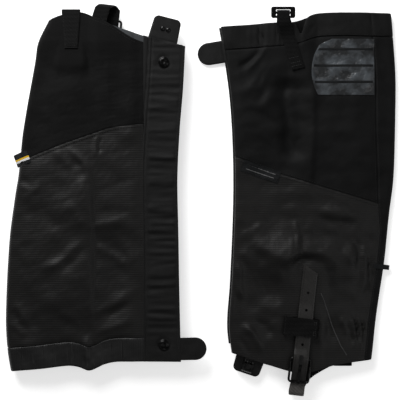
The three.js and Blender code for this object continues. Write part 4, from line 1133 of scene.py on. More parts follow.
def weld(piece):
    mesh = bmesh.new()
    mesh.from_mesh(piece.data)
    bmesh.ops.remove_doubles(mesh, verts=mesh.verts, dist=1e-6)
    bmesh.ops.recalc_face_normals(mesh, faces=mesh.faces)
    mesh.to_mesh(piece.data)
    mesh.free()


def arc(cx, cy, radius, start, end, steps):
    angles = np.radians(np.linspace(start, end, steps))
    return [(cx + radius * math.cos(a), cy + radius * math.sin(a)) for a in angles]


def rounded_rect(left, bottom, right, top, radius, steps=6):
    return (arc(right - radius, bottom + radius, radius, -90, 0, steps)
            + arc(right - radius, top - radius, radius, 0, 90, steps)
            + arc(left + radius, top - radius, radius, 90, 180, steps)
            + arc(left + radius, bottom + radius, radius, 180, 270, steps))


def tube_piece(to_world, name, path, radius, material, body, slot, closed=False, sides=10):
    """Round rod along a path."""
    p = np.array(path, float)
    after = np.roll(p, -1, 0) if closed else np.concatenate([p[1:], p[-1:]])
    before = np.roll(p, 1, 0) if closed else np.concatenate([p[:1], p[:-1]])
    along = after - before
    along /= np.linalg.norm(along, axis=1, keepdims=True)
    up = np.array([0.0, 0.0, 1.0])
    side = np.cross(along, up)
    flat = np.linalg.norm(side, axis=1) < 1e-3
    side[flat] = np.cross(along[flat], [1.0, 0, 0])
    side /= np.linalg.norm(side, axis=1, keepdims=True)
    top = np.cross(side, along)
    angle = np.arange(sides) * 2 * np.pi / sides
    ring = np.cos(angle)[None, :, None] * side[:, None] + np.sin(angle)[None, :, None] * top[:, None]
    verts = (p[:, None] + radius * ring).reshape(-1, 3)
    n, faces = len(p), []
    for i in range(n if closed else n - 1):
        a, b = i * sides, ((i + 1) % n) * sides
        faces += [(a + k, a + (k + 1) % sides, b + (k + 1) % sides, b + k) for k in range(sides)]
    if not closed:
        faces += [tuple(range(sides))[::-1], tuple((n - 1) * sides + k for k in range(sides))]
    piece = add_piece(name, to_world(verts), faces, material, None, slot, 60)
    weld(piece)
    if body:
        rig.ride(piece, body)
    return piece


def stitches(to_world, name, lines, material, body, slot, pitch=3.4, length=2.5, radius=0.26, ride=True):
    """Sewn stitches along lines of (points, outward direction), as one piece of small thread loops."""
    verts, faces = [], []
    around = 6
    for points, outward in lines:
        p = np.array(points, float)
        step = np.linalg.norm(np.diff(p, axis=0), axis=1)
        at = np.concatenate([[0], np.cumsum(step)])
        out = np.array(outward, float)
        for start in np.arange(0.4, at[-1] - length, pitch):
            ends = [np.array([np.interp(start + t, at, p[:, k]) for k in range(3)])
                    for t in (0, length * 0.25, length * 0.75, length)]
            along = ends[3] - ends[0]
            along /= np.linalg.norm(along) + 1e-9
            side = np.cross(along, out)
            side /= np.linalg.norm(side) + 1e-9
            base = len(verts)
            lift = (-0.12, 0.16, 0.16, -0.12)
            for end, height, size in zip(ends, lift, (0.35, 1, 1, 0.35)):
                centre = end + out * height
                for k in range(around):
                    a = 2 * np.pi * k / around
                    verts.append(centre + radius * size * (math.cos(a) * side + math.sin(a) * out))
            for r in range(3):
                for k in range(around):
                    a, b = base + r * around + k, base + r * around + (k + 1) % around
                    faces.append((a, b, b + around, a + around))
            faces.append(tuple(base + k for k in range(around))[::-1])
            faces.append(tuple(base + 3 * around + k for k in range(around)))
    verts = to_world(np.array(verts))
    if np.linalg.det(np.array([to_world(np.eye(3)[i:i + 1])[0] - to_world(np.zeros((1, 3)))[0]
                               for i in range(3)])) > 0:
        faces = [f[::-1] for f in faces]
    return add_piece(name, verts, faces, material, body if ride else None, slot, 70)


def local(g, position, lean_degrees=0.0):
    """Maps a fitting's own frame, turned about z, through the gaiter's frame into the row frame."""
    a = math.radians(lean_degrees)
    turn = np.array([[math.cos(a), -math.sin(a), 0], [math.sin(a), math.cos(a), 0], [0, 0, 1]])
    return lambda points: g.world(np.asarray(points, float) @ turn.T + np.asarray(position, float))


# ---- Front flap and what closes it ----
FLAP_WAVES = waves(23, 90, 11), waves(29, 40, 7)
FLAP_BANDS = [fold([(4, h), (26, h + 3), (50, h)], a, w, w * 1.3, 0.15) for h, a, w in
              ((52, 0.5, 4), (70, 0.6, 4), (88, -0.6, 4), (104, 0.6, 5), (121, -0.5, 4), (136, 0.6, 4),
               (152, -0.6, 3), (170, 1.3, 4), (184, -0.8, 5), (201, 1.5, 5), (216, -0.9, 5), (236, 1.1, 5),
               (247, -0.6, 3), (257, 1.0, 4), (275, -0.5, 5), (292, 0.5, 5), (315, 0.4, 6), (336, -0.5, 5),
               (362, 1.2, 8), (386, -0.5, 5))]


def snap_heights(g):
    low = float(g.foot(SNAP_X)) + g.lie["inset"] + SNAP_FROM_FOOT
    return low, float(g.calf(SNAP_X)) - SNAP_FROM_CALF


def flap_relief(g, x, y):
    broad, fine = FLAP_WAVES
    amount = 0.62 if g.side == "right" else 0.3
    total = 0.45 * broad(x, y) + 0.22 * fine(x, y) + sum(f(x, y) for f in FLAP_BANDS)
    low, high = snap_heights(g)
    calm = 1 - 0.8 * np.exp(-((y - low) / 16) ** 2) - 0.8 * np.exp(-((y - high) / 16) ** 2)
    total = total * amount * calm * smooth(x - g.front(y), 0, 8) * (1 - smooth(x, 40, 52))
    for line in g.seam_lines("inner")[-2:]:
        total = total - line(x, y)
    for h in (low, high):
        r = np.hypot(x - SNAP_X, y - h)
        total = total - 0.7 * np.exp(-((r - 7.2) / 2.2) ** 2)
    edge = x - g.front(y)
    total = total - 0.3 * np.exp(-((edge - 4.2) / 0.9) ** 2)
    return total


def front_closure(g):
    side = g.side
    shell, flap_body = "shells", f"{side}_front_flap"
    low, high = snap_heights(g)
    foot_of = lambda x: g.foot(x) + g.lie["inset"]

    def sheet(near, far, bottom, top, cols, rows, level):
        grid = np.zeros((rows, cols, 3))
        for c, t in enumerate(np.linspace(0, 1, cols)):
            x_of = lambda y, t=t: mix(near(y), far(y), t)
            y = np.linspace(fixed_point(g, x_of, bottom)[1], fixed_point(g, x_of, top)[1], rows)
            x = x_of(y)
            grid[:, c] = np.stack([x, y, level(x, y)], -1)
        return grid

    ends = (lambda y: FLAP_REACH + 0 * y)
    grid = sheet(g.front, ends, foot_of, g.calf, 44, 300, lambda x, y: FLAP_LEVEL - flap_relief(g, x, y))
    flap = cloth_piece(g, f"{side}_flap_cloth", grid, CLOTH, (0, 0, -1), MATERIAL["reinforced"], None,
                       "reinforced")
    hinge_at = lambda x: tuple(g.world([x, LENGTH / 2, FLAP_LEVEL]))
    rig.blend(flap, shell, flap_body, hinge_at(52.0), hinge_at(46.0))
    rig.replaces(flap, f"{side}_front_flap")
    flat = grid.copy()
    flat[..., 2] = FLAP_LEVEL
    declare_sheet(flap, flat, "laid")

    wavy = waves(31, 50, 40)
    grid = sheet(lambda y: g.front_rim(y) + 0.6, lambda y: FLAP_REACH - 2 + 0 * y, foot_of, g.calf, 24, 120,
                 lambda x, y: PLACKET_LEVEL - 0.12 * wavy(x, y))
    placket = cloth_piece(g, f"{side}_placket_cloth", grid, CLOTH, (0, 0, -1), MATERIAL["reinforced"], shell,
                          "reinforced")
    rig.replaces(placket, f"{side}_front_placket")
    flat = grid.copy()
    flat[..., 2] = PLACKET_LEVEL
    declare_sheet(placket, flat, "laid")

    for name, level, thick, body in (("loop", PLACKET_LEVEL - GAP - 1.4, 1.4, shell),
                                     ("hook", FLAP_LEVEL + CLOTH + GAP, 1.2, flap_body)):
        inside = lambda y: STRIP_NEAR + 0 * y
        far = lambda y: STRIP_FAR + 0 * y
        grid = sheet(inside, far, lambda x: low + STRIP_MARGIN + 0 * x, lambda x: high - STRIP_MARGIN + 0 * x, 14,
                     120, lambda x, y: level + thick + 0 * x)
        piece = cloth_piece(g, f"{side}_{name}_pile", grid, thick, (0, 0, 1), MATERIAL["hook_and_loop"], body,
                            "hook_and_loop")
        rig.replaces(piece, f"{side}_{name}_strip")

    for name, height in (("lower", low), ("upper", high)):
        face = FLAP_LEVEL - GAP
        crown = face - 2.3
        profile = [(0, crown + 0.35), (1.6, crown + 0.3), (2.1, crown + 0.05), (3.2, crown), (4.6, crown + 0.25),
                   (5.3, crown + 0.75), (5.55, crown + 1.15), (5.8, crown + 1.0), (6.3, crown + 1.2),
                   (6.65, crown + 1.7), (6.6, face - 0.15), (6.3, face), (1.6, face), (1.6, face + 2.4),
                   (0, face + 2.4)]
        cap = turned_piece(local(g, (SNAP_X, height, 0)), f"{side}_{name}_cap", profile, MATERIAL["dark_metal"],
                           flap_body, "dark_metal")
        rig.replaces(cap, f"{side}_{name}_snap_cap")
        for node in (f"{side}_{name}_snap_socket", f"{side}_{name}_snap_stud"):
            repaint(node, "dark_metal")
    flap_stitching(g, foot_of)
    pull_tab(g)
    hook_tab(g, foot_of)


def repaint(node, material):
    piece = frame["nodes"][node]
    piece.data.materials.clear()
    piece.data.materials.append(MATERIAL[material])


def flap_stitching(g, foot_of):
    """Topstitching round the flap's free edges, and the two rows along its hinge line."""
    ys = np.linspace(float(foot_of(6)) + 3, float(g.calf(6)) - 3, 200)
    x = g.front(ys) + 3.2
    z = FLAP_LEVEL - flap_relief(g, x, ys)
    lines = [(np.stack([x, ys, z], -1), (0, 0, -1))]
    for edge, inset in ((foot_of, 3.0), (g.calf, -3.0)):
        xs = np.linspace(float(g.front(edge(4))) + 4, 46, 40)
        y = edge(xs) + inset
        lines.append((np.stack([xs, y, FLAP_LEVEL - flap_relief(g, xs, y)], -1), (0, 0, -1)))
    stitches(g.world, f"{g.side}_flap_stitches", lines, MATERIAL["thread"], f"{g.side}_front_flap", "reinforced")
    seam = through(HINGE_STITCH)
    lines = []
    for shift in (0, -4.4):
        ys = np.linspace(float(foot_of(50)) + 2, float(g.calf(50)) - 2, 220)
        x = seam(ys) + shift
        on_flap = x < FLAP_REACH
        z = np.where(on_flap, FLAP_LEVEL - flap_relief(g, x, ys), g.inner_z(x, ys))
        for part in (on_flap, ~on_flap):
            runs = np.split(np.arange(len(ys))[part], np.where(np.diff(np.arange(len(ys))[part]) > 1)[0] + 1)
            lines += [(np.stack([x[r], ys[r], z[r]], -1), (0, 0, -1)) for r in runs if len(r) > 4]
    piece = stitches(g.world, f"{g.side}_hinge_stitches", lines, MATERIAL["thread"], None, "reinforced", ride=False)
    hinge_at = lambda x: tuple(g.world([x, LENGTH / 2, FLAP_LEVEL]))
    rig.blend(piece, "shells", f"{g.side}_front_flap", hinge_at(52.0), hinge_at(46.0))


PULL_LENGTH, PULL_HEIGHT, PULL_THICK = 31.0, 28.0, 1.6


def pull_tab(g):
    """Coated tab sewn behind the flap's free edge; its root bends at the edge."""
    side = g.side
    joint = next(j for j in frame["joints"] if j["name"] == f"{side}_pull_tab_swing")
    centre = (np.array(joint["pos_m"]) * 1000 - g.origin) * g.sign
    middle = float(g.calf(0)) - g.lie["pull"]
    low, high = middle - PULL_HEIGHT / 2, middle + PULL_HEIGHT / 2
    lean = math.degrees(math.atan2(float(g.front(low) - g.front(high)), PULL_HEIGHT))
    to_world = local(g, centre, lean)
    radius = PULL_HEIGHT / 2
    cols, rows = 58, 17
    root = 11.0
    u = np.concatenate([np.linspace(root, radius - PULL_LENGTH, cols - 22)[:-1],
                        radius - PULL_LENGTH - radius * np.sin(np.linspace(0, np.pi / 2, 23))])
    past = np.maximum(radius - PULL_LENGTH - u, 0)
    half = np.maximum(np.sqrt(np.maximum(radius ** 2 - past ** 2, 0)), 0.4)
    z = 1.0 * smooth(u, 0.5, 6) + 0.25 * np.sin(u / 9) * (u < 0)
    across = np.linspace(-1, 1, rows)
    grid = np.stack([np.repeat(u[:, None], rows, 1), half[:, None] * across[None],
                     np.repeat(z[:, None], rows, 1)], -1)
    thick = mix(0.9, PULL_THICK, 1 - smooth(u, -2, 3))
    n = grid_normals(grid)
    edge = np.zeros(grid.shape[:2])
    edge[:, 0], edge[:, -1], edge[-1] = 1, 1, 1
    half_t = (thick[:, None] / 2 - 0.35 * edge)[..., None]
    verts, faces = solid_from_skins(to_world(grid + n * half_t), to_world(grid - n * half_t))
    tab = add_piece(f"{side}_pull_tab_strip", verts, faces, MATERIAL["coated_tab"], None, "coated_tab")
    weld(tab)
    start, end = tuple(to_world([[1.2, 0, 0]])[0]), tuple(to_world([[-1.4, 0, 0]])[0])
    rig.blend(tab, f"{side}_front_flap", f"{side}_pull_tab", start, end)
    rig.replaces(tab, f"{side}_pull_tab")
    inset = 2.4
    outline = [(-3.0, radius - inset), (radius - PULL_LENGTH, radius - inset)]
    outline += arc(radius - PULL_LENGTH, 0, radius - inset, 90, 270, 24)[1:] + [(-3.0, inset - radius)]
    lines = []
    for z0, out in ((-PULL_THICK / 2, (0, 0, -1)), (PULL_THICK / 2, (0, 0, 1))):
        lines.append(([(x, y, z0 + 0.25 * math.sin(x / 9)) for x, y in outline], out))
    stitches(to_world, f"{side}_pull_tab_stitches", lines, MATERIAL["thread"], f"{side}_pull_tab", "coated_tab",
             pitch=3.0, length=2.2)


HOOK_TAB_WIDTH, HOOK_TAB_LENGTH, HOOK_TAB_THICK = 37.0, 28.0, 1.6
RIVET_SPACING, RIVET_FROM_ROOT = 7.0, 13.0


def hook_tab(g, foot_of):
    side = g.side
    joint = next(j for j in frame["joints"] if j["name"] == f"{side}_hook_tab_swing")
    centre = (np.array(joint["pos_m"]) * 1000 - g.origin) * g.sign
    half = HOOK_TAB_WIDTH / 2
    near, far = float(foot_of(28.0 - half)), float(foot_of(28.0 + half))
    lean = math.degrees(math.atan2(far - near, HOOK_TAB_WIDTH))
    to_world = local(g, centre, lean)
    corner = 6.0
    v = np.concatenate([np.linspace(11, corner - HOOK_TAB_LENGTH, 30)[:-1],
                        corner - HOOK_TAB_LENGTH - corner * np.sin(np.linspace(0, np.pi / 2, 12))])
    past = np.maximum(corner - HOOK_TAB_LENGTH - v, 0)
    width = (half - 1.5 * np.clip(-v / HOOK_TAB_LENGTH, 0, 1)
             - (corner - np.sqrt(np.maximum(corner ** 2 - past ** 2, 0))))
    cols = 31
    across = np.linspace(-1, 1, cols)
    z = -0.65 * smooth(v, 0.2, 4) + 0.0 * v
    grid = np.stack([width[:, None] * across[None], np.repeat(v[:, None], cols, 1),
                     np.repeat(z[:, None], cols, 1)], -1)
    thick = mix(0.7, HOOK_TAB_THICK, 1 - smooth(v, -1.5, 2))
    n = grid_normals(grid)
    edge = np.zeros(grid.shape[:2])
    edge[:, 0], edge[:, -1], edge[-1] = 1, 1, 1
    half_t = (thick[:, None] / 2 - 0.35 * edge)[..., None]
    verts, faces = solid_from_skins(to_world(grid + n * half_t), to_world(grid - n * half_t))
    tab = add_piece(f"{side}_hook_tab_strip", verts, faces, MATERIAL["coated_tab"], None, "coated_tab")
    start, end = tuple(to_world([[0, 1.2, 0]])[0]), tuple(to_world([[0, -1.4, 0]])[0])
    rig.blend(tab, "shells", f"{side}_hook_tab", start, end)
    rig.replaces(tab, f"{side}_hook_tab")
    inset = 2.4
    low = corner - HOOK_TAB_LENGTH
    outline = [(-half + inset + 0.2, -3), (-half + 1.3 + inset, low)]
    outline += arc(-half + 1.5 + corner, low, corner - inset, 180, 270, 8)
    outline += arc(half - 1.5 - corner, low, corner - inset, 270, 360, 8)
    outline += [(half - inset - 0.2, -3)]
    lines = [([(x, y, s * HOOK_TAB_THICK / 2) for x, y in outline], (0, 0, s)) for s in (-1, 1)]
    stitches(to_world, f"{side}_hook_tab_stitches", lines, MATERIAL["thread"], f"{side}_hook_tab", "coated_tab",
             pitch=3.0, length=2.2)
    repaint(f"{side}_lace_hook", "steel")
    for name, x in (("front", -RIVET_SPACING / 2), ("rear", RIVET_SPACING / 2)):
        face, back = -HOOK_TAB_THICK / 2 - GAP, HOOK_TAB_THICK / 2 + 1.2 + 2 * GAP
        profile = [(0, face - 1.5), (1.2, face - 1.42), (2.1, face - 1.1), (2.8, face - 0.5), (3, face - 0.15),
                   (2.9, face), (1.4, face), (1.4, back), (2.3, back), (2.3, back + 0.5), (2.0, back + 0.7),
                   (0, back + 0.7)]
        spot = np.asarray([x, -RIVET_FROM_ROOT, 0.0])
        rivet = turned_piece(lambda p, spot=spot: to_world(np.asarray(p) + spot), f"{side}_rivet_{name}", profile,
                             MATERIAL["steel"], f"{side}_hook_tab", "steel", 28)
        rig.replaces(rivet, f"{side}_hook_rivet_{name}")


# ---- Instep strap and buckle, in a frame on the heel bar ----
STRAP_WIDTH, STRAP_THICK, STRAP_TAIL, STRAP_LEAN = 18.5, 1.6, 112.0, -6.5
STRAP_HOLES = [17.5 + 21.5 * i for i in range(4)]
FRAME_REACH, FRAME_ROD, FRAME_WIDTH = 29.5, 3.0, 27.5
PRONG_WIDTH, TAB_THICK, TAB_WIDTH, TAB_LENGTH, BAR_CLEARANCE = 2.6, 1.2, 18.0, 27.0, 0.45
KEEPER_WIDTH, KEEPER_HEIGHT, KEEPER_THICK, KEEPER_OFFSET = 44.0, 23.0, 1.0, -4.0
BIGHT_DROP, BIGHT_R = 42.0, 4.8
BAR_ROOM = FRAME_ROD / 2 + BAR_CLEARANCE
TAB_BOTTOM = -BAR_ROOM - TAB_THICK
STRAP_OVER_BAR = BAR_ROOM + TAB_THICK + GAP + STRAP_THICK / 2
STRAP_OVER_TAB = TAB_BOTTOM + 2 * TAB_THICK + 2 * GAP + STRAP_THICK / 2
STRAP_ON_CLOTH = TAB_BOTTOM + STRAP_THICK / 2
STRAP_UNDER_BAR = -FRAME_ROD / 2 - GAP - STRAP_THICK / 2


def strap_stations(g):
    keeper_end = TAB_LENGTH + KEEPER_HEIGHT
    level = through([(-FRAME_REACH - 4, STRAP_UNDER_BAR), (-FRAME_REACH + 2, STRAP_UNDER_BAR), (-4, STRAP_OVER_BAR),
                     (3, STRAP_OVER_BAR), (14, STRAP_OVER_TAB), (keeper_end + 2, STRAP_OVER_TAB),
                     (keeper_end + 20, STRAP_ON_CLOTH), (STRAP_TAIL, STRAP_ON_CLOTH)])
    half = (STRAP_WIDTH / 2, 0, 0)
    centres, halves = [(0, STRAP_TAIL, STRAP_ON_CLOTH)], [(STRAP_WIDTH / 2, -5, 0)]
    for y in (105, 95, 85, 76, 68, 60, 54, 48, 40, 30, 22, 16, 12, 8, 4, 0, -4, -8, -12, -16, -20, -25, -30, -36,
              -BIGHT_DROP):
        centres.append((0, y, float(level(y))))
        halves.append(half)
    aside = 0.0 if g.side == "left" else 12.0
    for turn in np.linspace(0, np.pi, 9)[1:]:
        centres.append((aside * turn / np.pi, -BIGHT_DROP - BIGHT_R * math.sin(turn),
                        STRAP_UNDER_BAR - BIGHT_R * (1 - math.cos(turn))))
        halves.append(half)
    low = STRAP_UNDER_BAR - 2 * BIGHT_R
    end = anchor_seat(g)
    route = spaced_curve([(aside, -BIGHT_DROP, low), (aside + 2, -32, low), (aside * 0.4 + 13, -15, low),
                          (end[0] - 12, end[1] - 4, mix(low, end[2], 0.8)), tuple(end)], 12)
    for i in range(1, 12):
        along = route[min(i + 1, 11)] - route[i - 1]
        side = np.array([along[1], -along[0], 0])
        halves.append(tuple(side / np.linalg.norm(side) * STRAP_WIDTH / 2))
        centres.append(tuple(route[i]))
    return centres, halves


def anchor_seat(g):
    """Where the strap is sewn to its anchor, in the heel bar's frame."""
    seat = np.array([ANCHOR_X + 6, float(g.foot(ANCHOR_X)) + ANCHOR_LENGTH * 0.3,
                     1.9 + CLOTH + 2 * GAP + 1.2 + STRAP_THICK / 2]) - g.heel
    a = math.radians(-STRAP_LEAN)
    return np.array([seat[0] * math.cos(a) - seat[1] * math.sin(a), seat[0] * math.sin(a) + seat[1] * math.cos(a),
                     seat[2]])


def cut_holes(piece, cutters):
    """Boolean holes, applied."""
    for i, cutter in enumerate(cutters):
        mod = piece.modifiers.new(f"hole_{i}", "BOOLEAN")
        mod.operation, mod.solver, mod.object = "DIFFERENCE", "EXACT", cutter
    bpy.context.view_layer.update()
    graph = bpy.context.evaluated_depsgraph_get()
    mesh = bpy.data.meshes.new_from_object(piece.evaluated_get(graph))
    piece.modifiers.clear()
    piece.data = mesh
    piece.data.set_sharp_from_angle(angle=math.radians(40))
    for cutter in cutters:
        bpy.data.objects.remove(cutter)


def strap_pieces(g):
    side = g.side
    to_world = local(g, g.heel, STRAP_LEAN)
    centres, halves = strap_stations(g)
    grid, c, h = strip_grid(centres, halves, 330, 11)
    out, inn = strip_skins(grid, STRAP_THICK, 0.32)
    if grid_normals(grid)[60, 5, 2] < 0:
        out, inn = inn, out
    verts, faces = solid_from_skins(to_world(out), to_world(inn))
    strap = add_piece(f"{side}_strap", verts, faces, MATERIAL["coated_strap"], None, "coated_strap")
    strap.data.materials.append(MATERIAL["webbing_light"])
    strap.data.materials.append(MATERIAL["webbing"])
    rows, cols = grid.shape[:2]
    passed = int(np.argmax((c[:, 1] < -FRAME_REACH - 1.5)))
    for face in strap.data.polygons:
        corners = list(face.vertices)
        if min(corners) >= rows * cols:
            face.material_index = 2
        elif max(corners) < rows * cols and min(corners) > passed * cols:
            face.material_index = 1 if side == "left" and max(corners) < (passed + 60) * cols else 2
    cutters = []
    for y in STRAP_HOLES:
        cutters.append(turned_piece(local_shift(to_world, (0, y, 0)), "cutter", [(0, -4), (1.7, -4), (1.7, 14), (0, 14)],
                                    MATERIAL["webbing"], None, "webbing", 20))
    cutters.append(plate_piece(to_world, "cutter", [rounded_rect(-1.8, -16.5, 1.8, 4.5, 1.7)], STRAP_UNDER_BAR - 2, 16,
                               0.01, MATERIAL["webbing"], None, "webbing"))
    cut_holes(strap, cutters)
    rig.ride(strap, "shells")
    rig.replaces(strap, f"{side}_instep_strap")
    edge_lines = []
    for s in (-1, 1):
        edge_lines.append((np.array([out[i, 5] + h[i] * s * 0.78 for i in range(passed)]), (0, 0, 1)))
    stitches(to_world, f"{side}_strap_stitches", edge_lines, MATERIAL["thread"], "shells", "coated_strap", pitch=3.0,
             length=2.3, radius=0.2)
    buckle(g, to_world)
    keeper(g, to_world)
    anchor(g)


def local_shift(to_world, shift):
    return lambda p: to_world(np.asarray(p, float) + np.asarray(shift, float))


def buckle(g, to_world):
    side = g.side
    outside = FRAME_WIDTH / 2 - FRAME_ROD / 2
    path = rounded_rect(-outside, -FRAME_REACH, outside, 0, 3.2, 7)
    dense = []
    for (x0, y0), (x1, y1) in zip(path, path[1:] + path[:1]):
        steps = max(1, int(math.hypot(x1 - x0, y1 - y0) / 1.5))
        dense += [(mix(x0, x1, t), mix(y0, y1, t), 0) for t in np.arange(steps) / steps]
    ring = tube_piece(to_world, f"{side}_buckle_ring", dense, FRAME_ROD / 2, MATERIAL["dark_metal"],
                      f"{side}_buckle_frame", "dark_metal", True, 14)
    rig.replaces(ring, f"{side}_buckle_frame")
    repaint(f"{side}_buckle_prong", "dark_metal")
    radius = BAR_ROOM + TAB_THICK / 2
    upper = TAB_BOTTOM + 1.5 * TAB_THICK + GAP
    centres = [(0, TAB_LENGTH, upper), (0, 18, upper), (0, 9.5, upper), (0, 6.5, upper + 0.5)]
    for turn in np.radians(np.linspace(62, 270, 12)):
        centres.append((0, radius * math.cos(turn), radius * math.sin(turn)))
    centres += [(0, 8, -radius), (0, 18, -radius), (0, TAB_LENGTH, -radius)]
    tab = strip_piece(to_world, f"{side}_buckle_tab_strip", centres, [(TAB_WIDTH / 2, 0, 0)] * len(centres),
                      TAB_THICK, MATERIAL["coated_tab"], None, "coated_tab", 90, 9, 0.2)
    cut_holes(tab, [plate_piece(to_world, "cutter", [rounded_rect(-2.3, -7, 2.3, 5, 1.5)], -6, 6, 0.01,
                                MATERIAL["webbing"], None, "webbing")])
    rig.ride(tab, "shells")
    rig.replaces(tab, f"{side}_buckle_tab")


def keeper(g, to_world):
    """Flattened sleeve of webbing that the strap's free end passes through."""
    side = g.side
    top = STRAP_OVER_TAB + STRAP_THICK / 2 + GAP + KEEPER_THICK
    left, right = KEEPER_OFFSET - KEEPER_WIDTH / 2, KEEPER_OFFSET + KEEPER_WIDTH / 2
    radius = (top - TAB_BOTTOM) / 2 - 0.1
    mid = KEEPER_THICK / 2
    loop = rounded_rect(left + mid, TAB_BOTTOM + mid, right - mid, top - mid, radius - mid, 9)
    loop = loop + loop[:1]
    path = []
    for (x0, z0), (x1, z1) in zip(loop[:-1], loop[1:]):
        steps = max(1, int(math.hypot(x1 - x0, z1 - z0) / 2.5))
        path += [(mix(x0, x1, t), z0 + (z1 - z0) * t) for t in np.arange(steps) / steps]
    path = np.array(path)
    wave = waves(41, 30, 20)
    rows = np.linspace(0, 1, 15)
    y = TAB_LENGTH + GAP + KEEPER_HEIGHT * rows
    n = len(path)
    grid = np.zeros((n, len(rows), 3))
    for i, (x, z) in enumerate(path):
        grid[i, :, 0], grid[i, :, 1], grid[i, :, 2] = x, y, z
    middle = path.mean(0)
    outward = np.sign(grid[..., 2] - middle[1])
    grid[..., 2] += np.where(outward > 0, 0.22 * (1 + wave(grid[..., 0], grid[..., 1])), 0)
    after, before = np.roll(grid, -1, 0), np.roll(grid, 1, 0)
    t = after - before
    normal = np.stack([t[..., 2], 0 * t[..., 0], -t[..., 0]], -1)
    normal /= np.linalg.norm(normal, axis=-1, keepdims=True)
    if (normal[..., 2] * outward).sum() < 0:
        normal = -normal
    out, inn = grid + normal * mid, grid - normal * mid
    verts, faces = [], []
    for skin in (out, inn):
        verts.append(skin.reshape(-1, 3))
    m = len(rows)
    at = lambda s, i, j: s * n * m + (i % n) * m + j
    for i in range(n):
        for j in range(m - 1):
            faces.append((at(0, i, j), at(0, i + 1, j), at(0, i + 1, j + 1), at(0, i, j + 1)))
            faces.append((at(1, i, j), at(1, i, j + 1), at(1, i + 1, j + 1), at(1, i + 1, j)))
        faces.append((at(0, i, 0), at(1, i, 0), at(1, i + 1, 0), at(0, i + 1, 0)))
        faces.append((at(0, i, m - 1), at(0, i + 1, m - 1), at(1, i + 1, m - 1), at(1, i, m - 1)))
    piece = add_piece(f"{side}_keeper_sleeve", to_world(np.concatenate(verts)), faces, MATERIAL["webbing"], None,
                      "webbing")
    weld(piece)
    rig.ride(piece, "shells")
    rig.replaces(piece, f"{side}_strap_keeper")
    z = top + 0.1
    lines = [([(right - 6, y[1] + 0.5, z), (right - 6, y[-2] - 0.5, z)], (0, 0, 1)),
             ([(right - 4, y[1] + 0.5, z), (right - 4, y[-2] - 0.5, z)], (0, 0, 1))]
    stitches(to_world, f"{side}_keeper_stitches", lines, MATERIAL["thread_light"], "shells", "webbing", pitch=2.6,
             length=1.9, radius=0.24)


def anchor(g):
    side = g.side
    edge = float(g.foot(ANCHOR_X))
    outside, inside = 1.9 - GAP - 0.6, 1.9 + CLOTH + GAP + 0.6
    radius = (inside - outside) / 2
    fold_y = edge - 2.5
    centres = [(ANCHOR_X, edge + ANCHOR_LENGTH, outside), (ANCHOR_X, edge + 33, outside),
               (ANCHOR_X, edge + 22, outside), (ANCHOR_X, edge + 10, outside), (ANCHOR_X, fold_y, outside)]
    widths = [8.0, 8.9, 9.8, 10.8, 11.5]
    for turn in np.linspace(0, np.pi, 9)[1:]:
        centres.append((ANCHOR_X, fold_y - radius * math.sin(turn), outside + radius * (1 - math.cos(turn))))
        widths.append(11.5)
    centres += [(ANCHOR_X, edge + 10, inside), (ANCHOR_X, edge + ANCHOR_LENGTH / 2, inside)]
    widths += [11.5, 11.5]
    piece = strip_piece(g.world, f"{side}_anchor_strip", centres, [(w, 0, 0) for w in widths], 1.2,
                        MATERIAL["webbing"], "shells", "webbing", 90, 11)
    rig.replaces(piece, f"{side}_strap_anchor")
    z = outside - 0.6
    lines = []
    for s in (-1, 1):
        lines.append(([(ANCHOR_X + s * 9.6, edge + 2, z),
                       (ANCHOR_X + s * 6.6, edge + ANCHOR_LENGTH - 3, z)], (0, 0, -1)))
    for up in (ANCHOR_LENGTH - 3, ANCHOR_LENGTH - 6):
        lines.append(([(ANCHOR_X - 6.4, edge + up, z), (ANCHOR_X + 6.4, edge + up, z)], (0, 0, -1)))
    stitches(g.world, f"{side}_anchor_stitches", lines, MATERIAL["thread"], "shells", "webbing", pitch=2.8, length=2.1)


# ---- Calf cinch, in a frame on the buckle's hinge bar ----
CINCH_WEB, CINCH_WEB_THICK, CINCH_BAR, CINCH_SLOT, CINCH_TAIL = 16.0, 1.1, 2.5, 2.8, 72.0
CINCH_WIDTH, CINCH_HEIGHT, CINCH_THICK, CINCH_LIFT = 30.0, 14.0, 3.0, 3.3
CINCH_EYE = CINCH_THICK / 2 + 0.8 + CINCH_WEB_THICK / 2
CINCH_ON_CLOTH = GAP + CINCH_WEB_THICK / 2 - CINCH_LIFT
CINCH_FIRST = CINCH_EYE + CINCH_WEB_THICK / 2 + 0.7


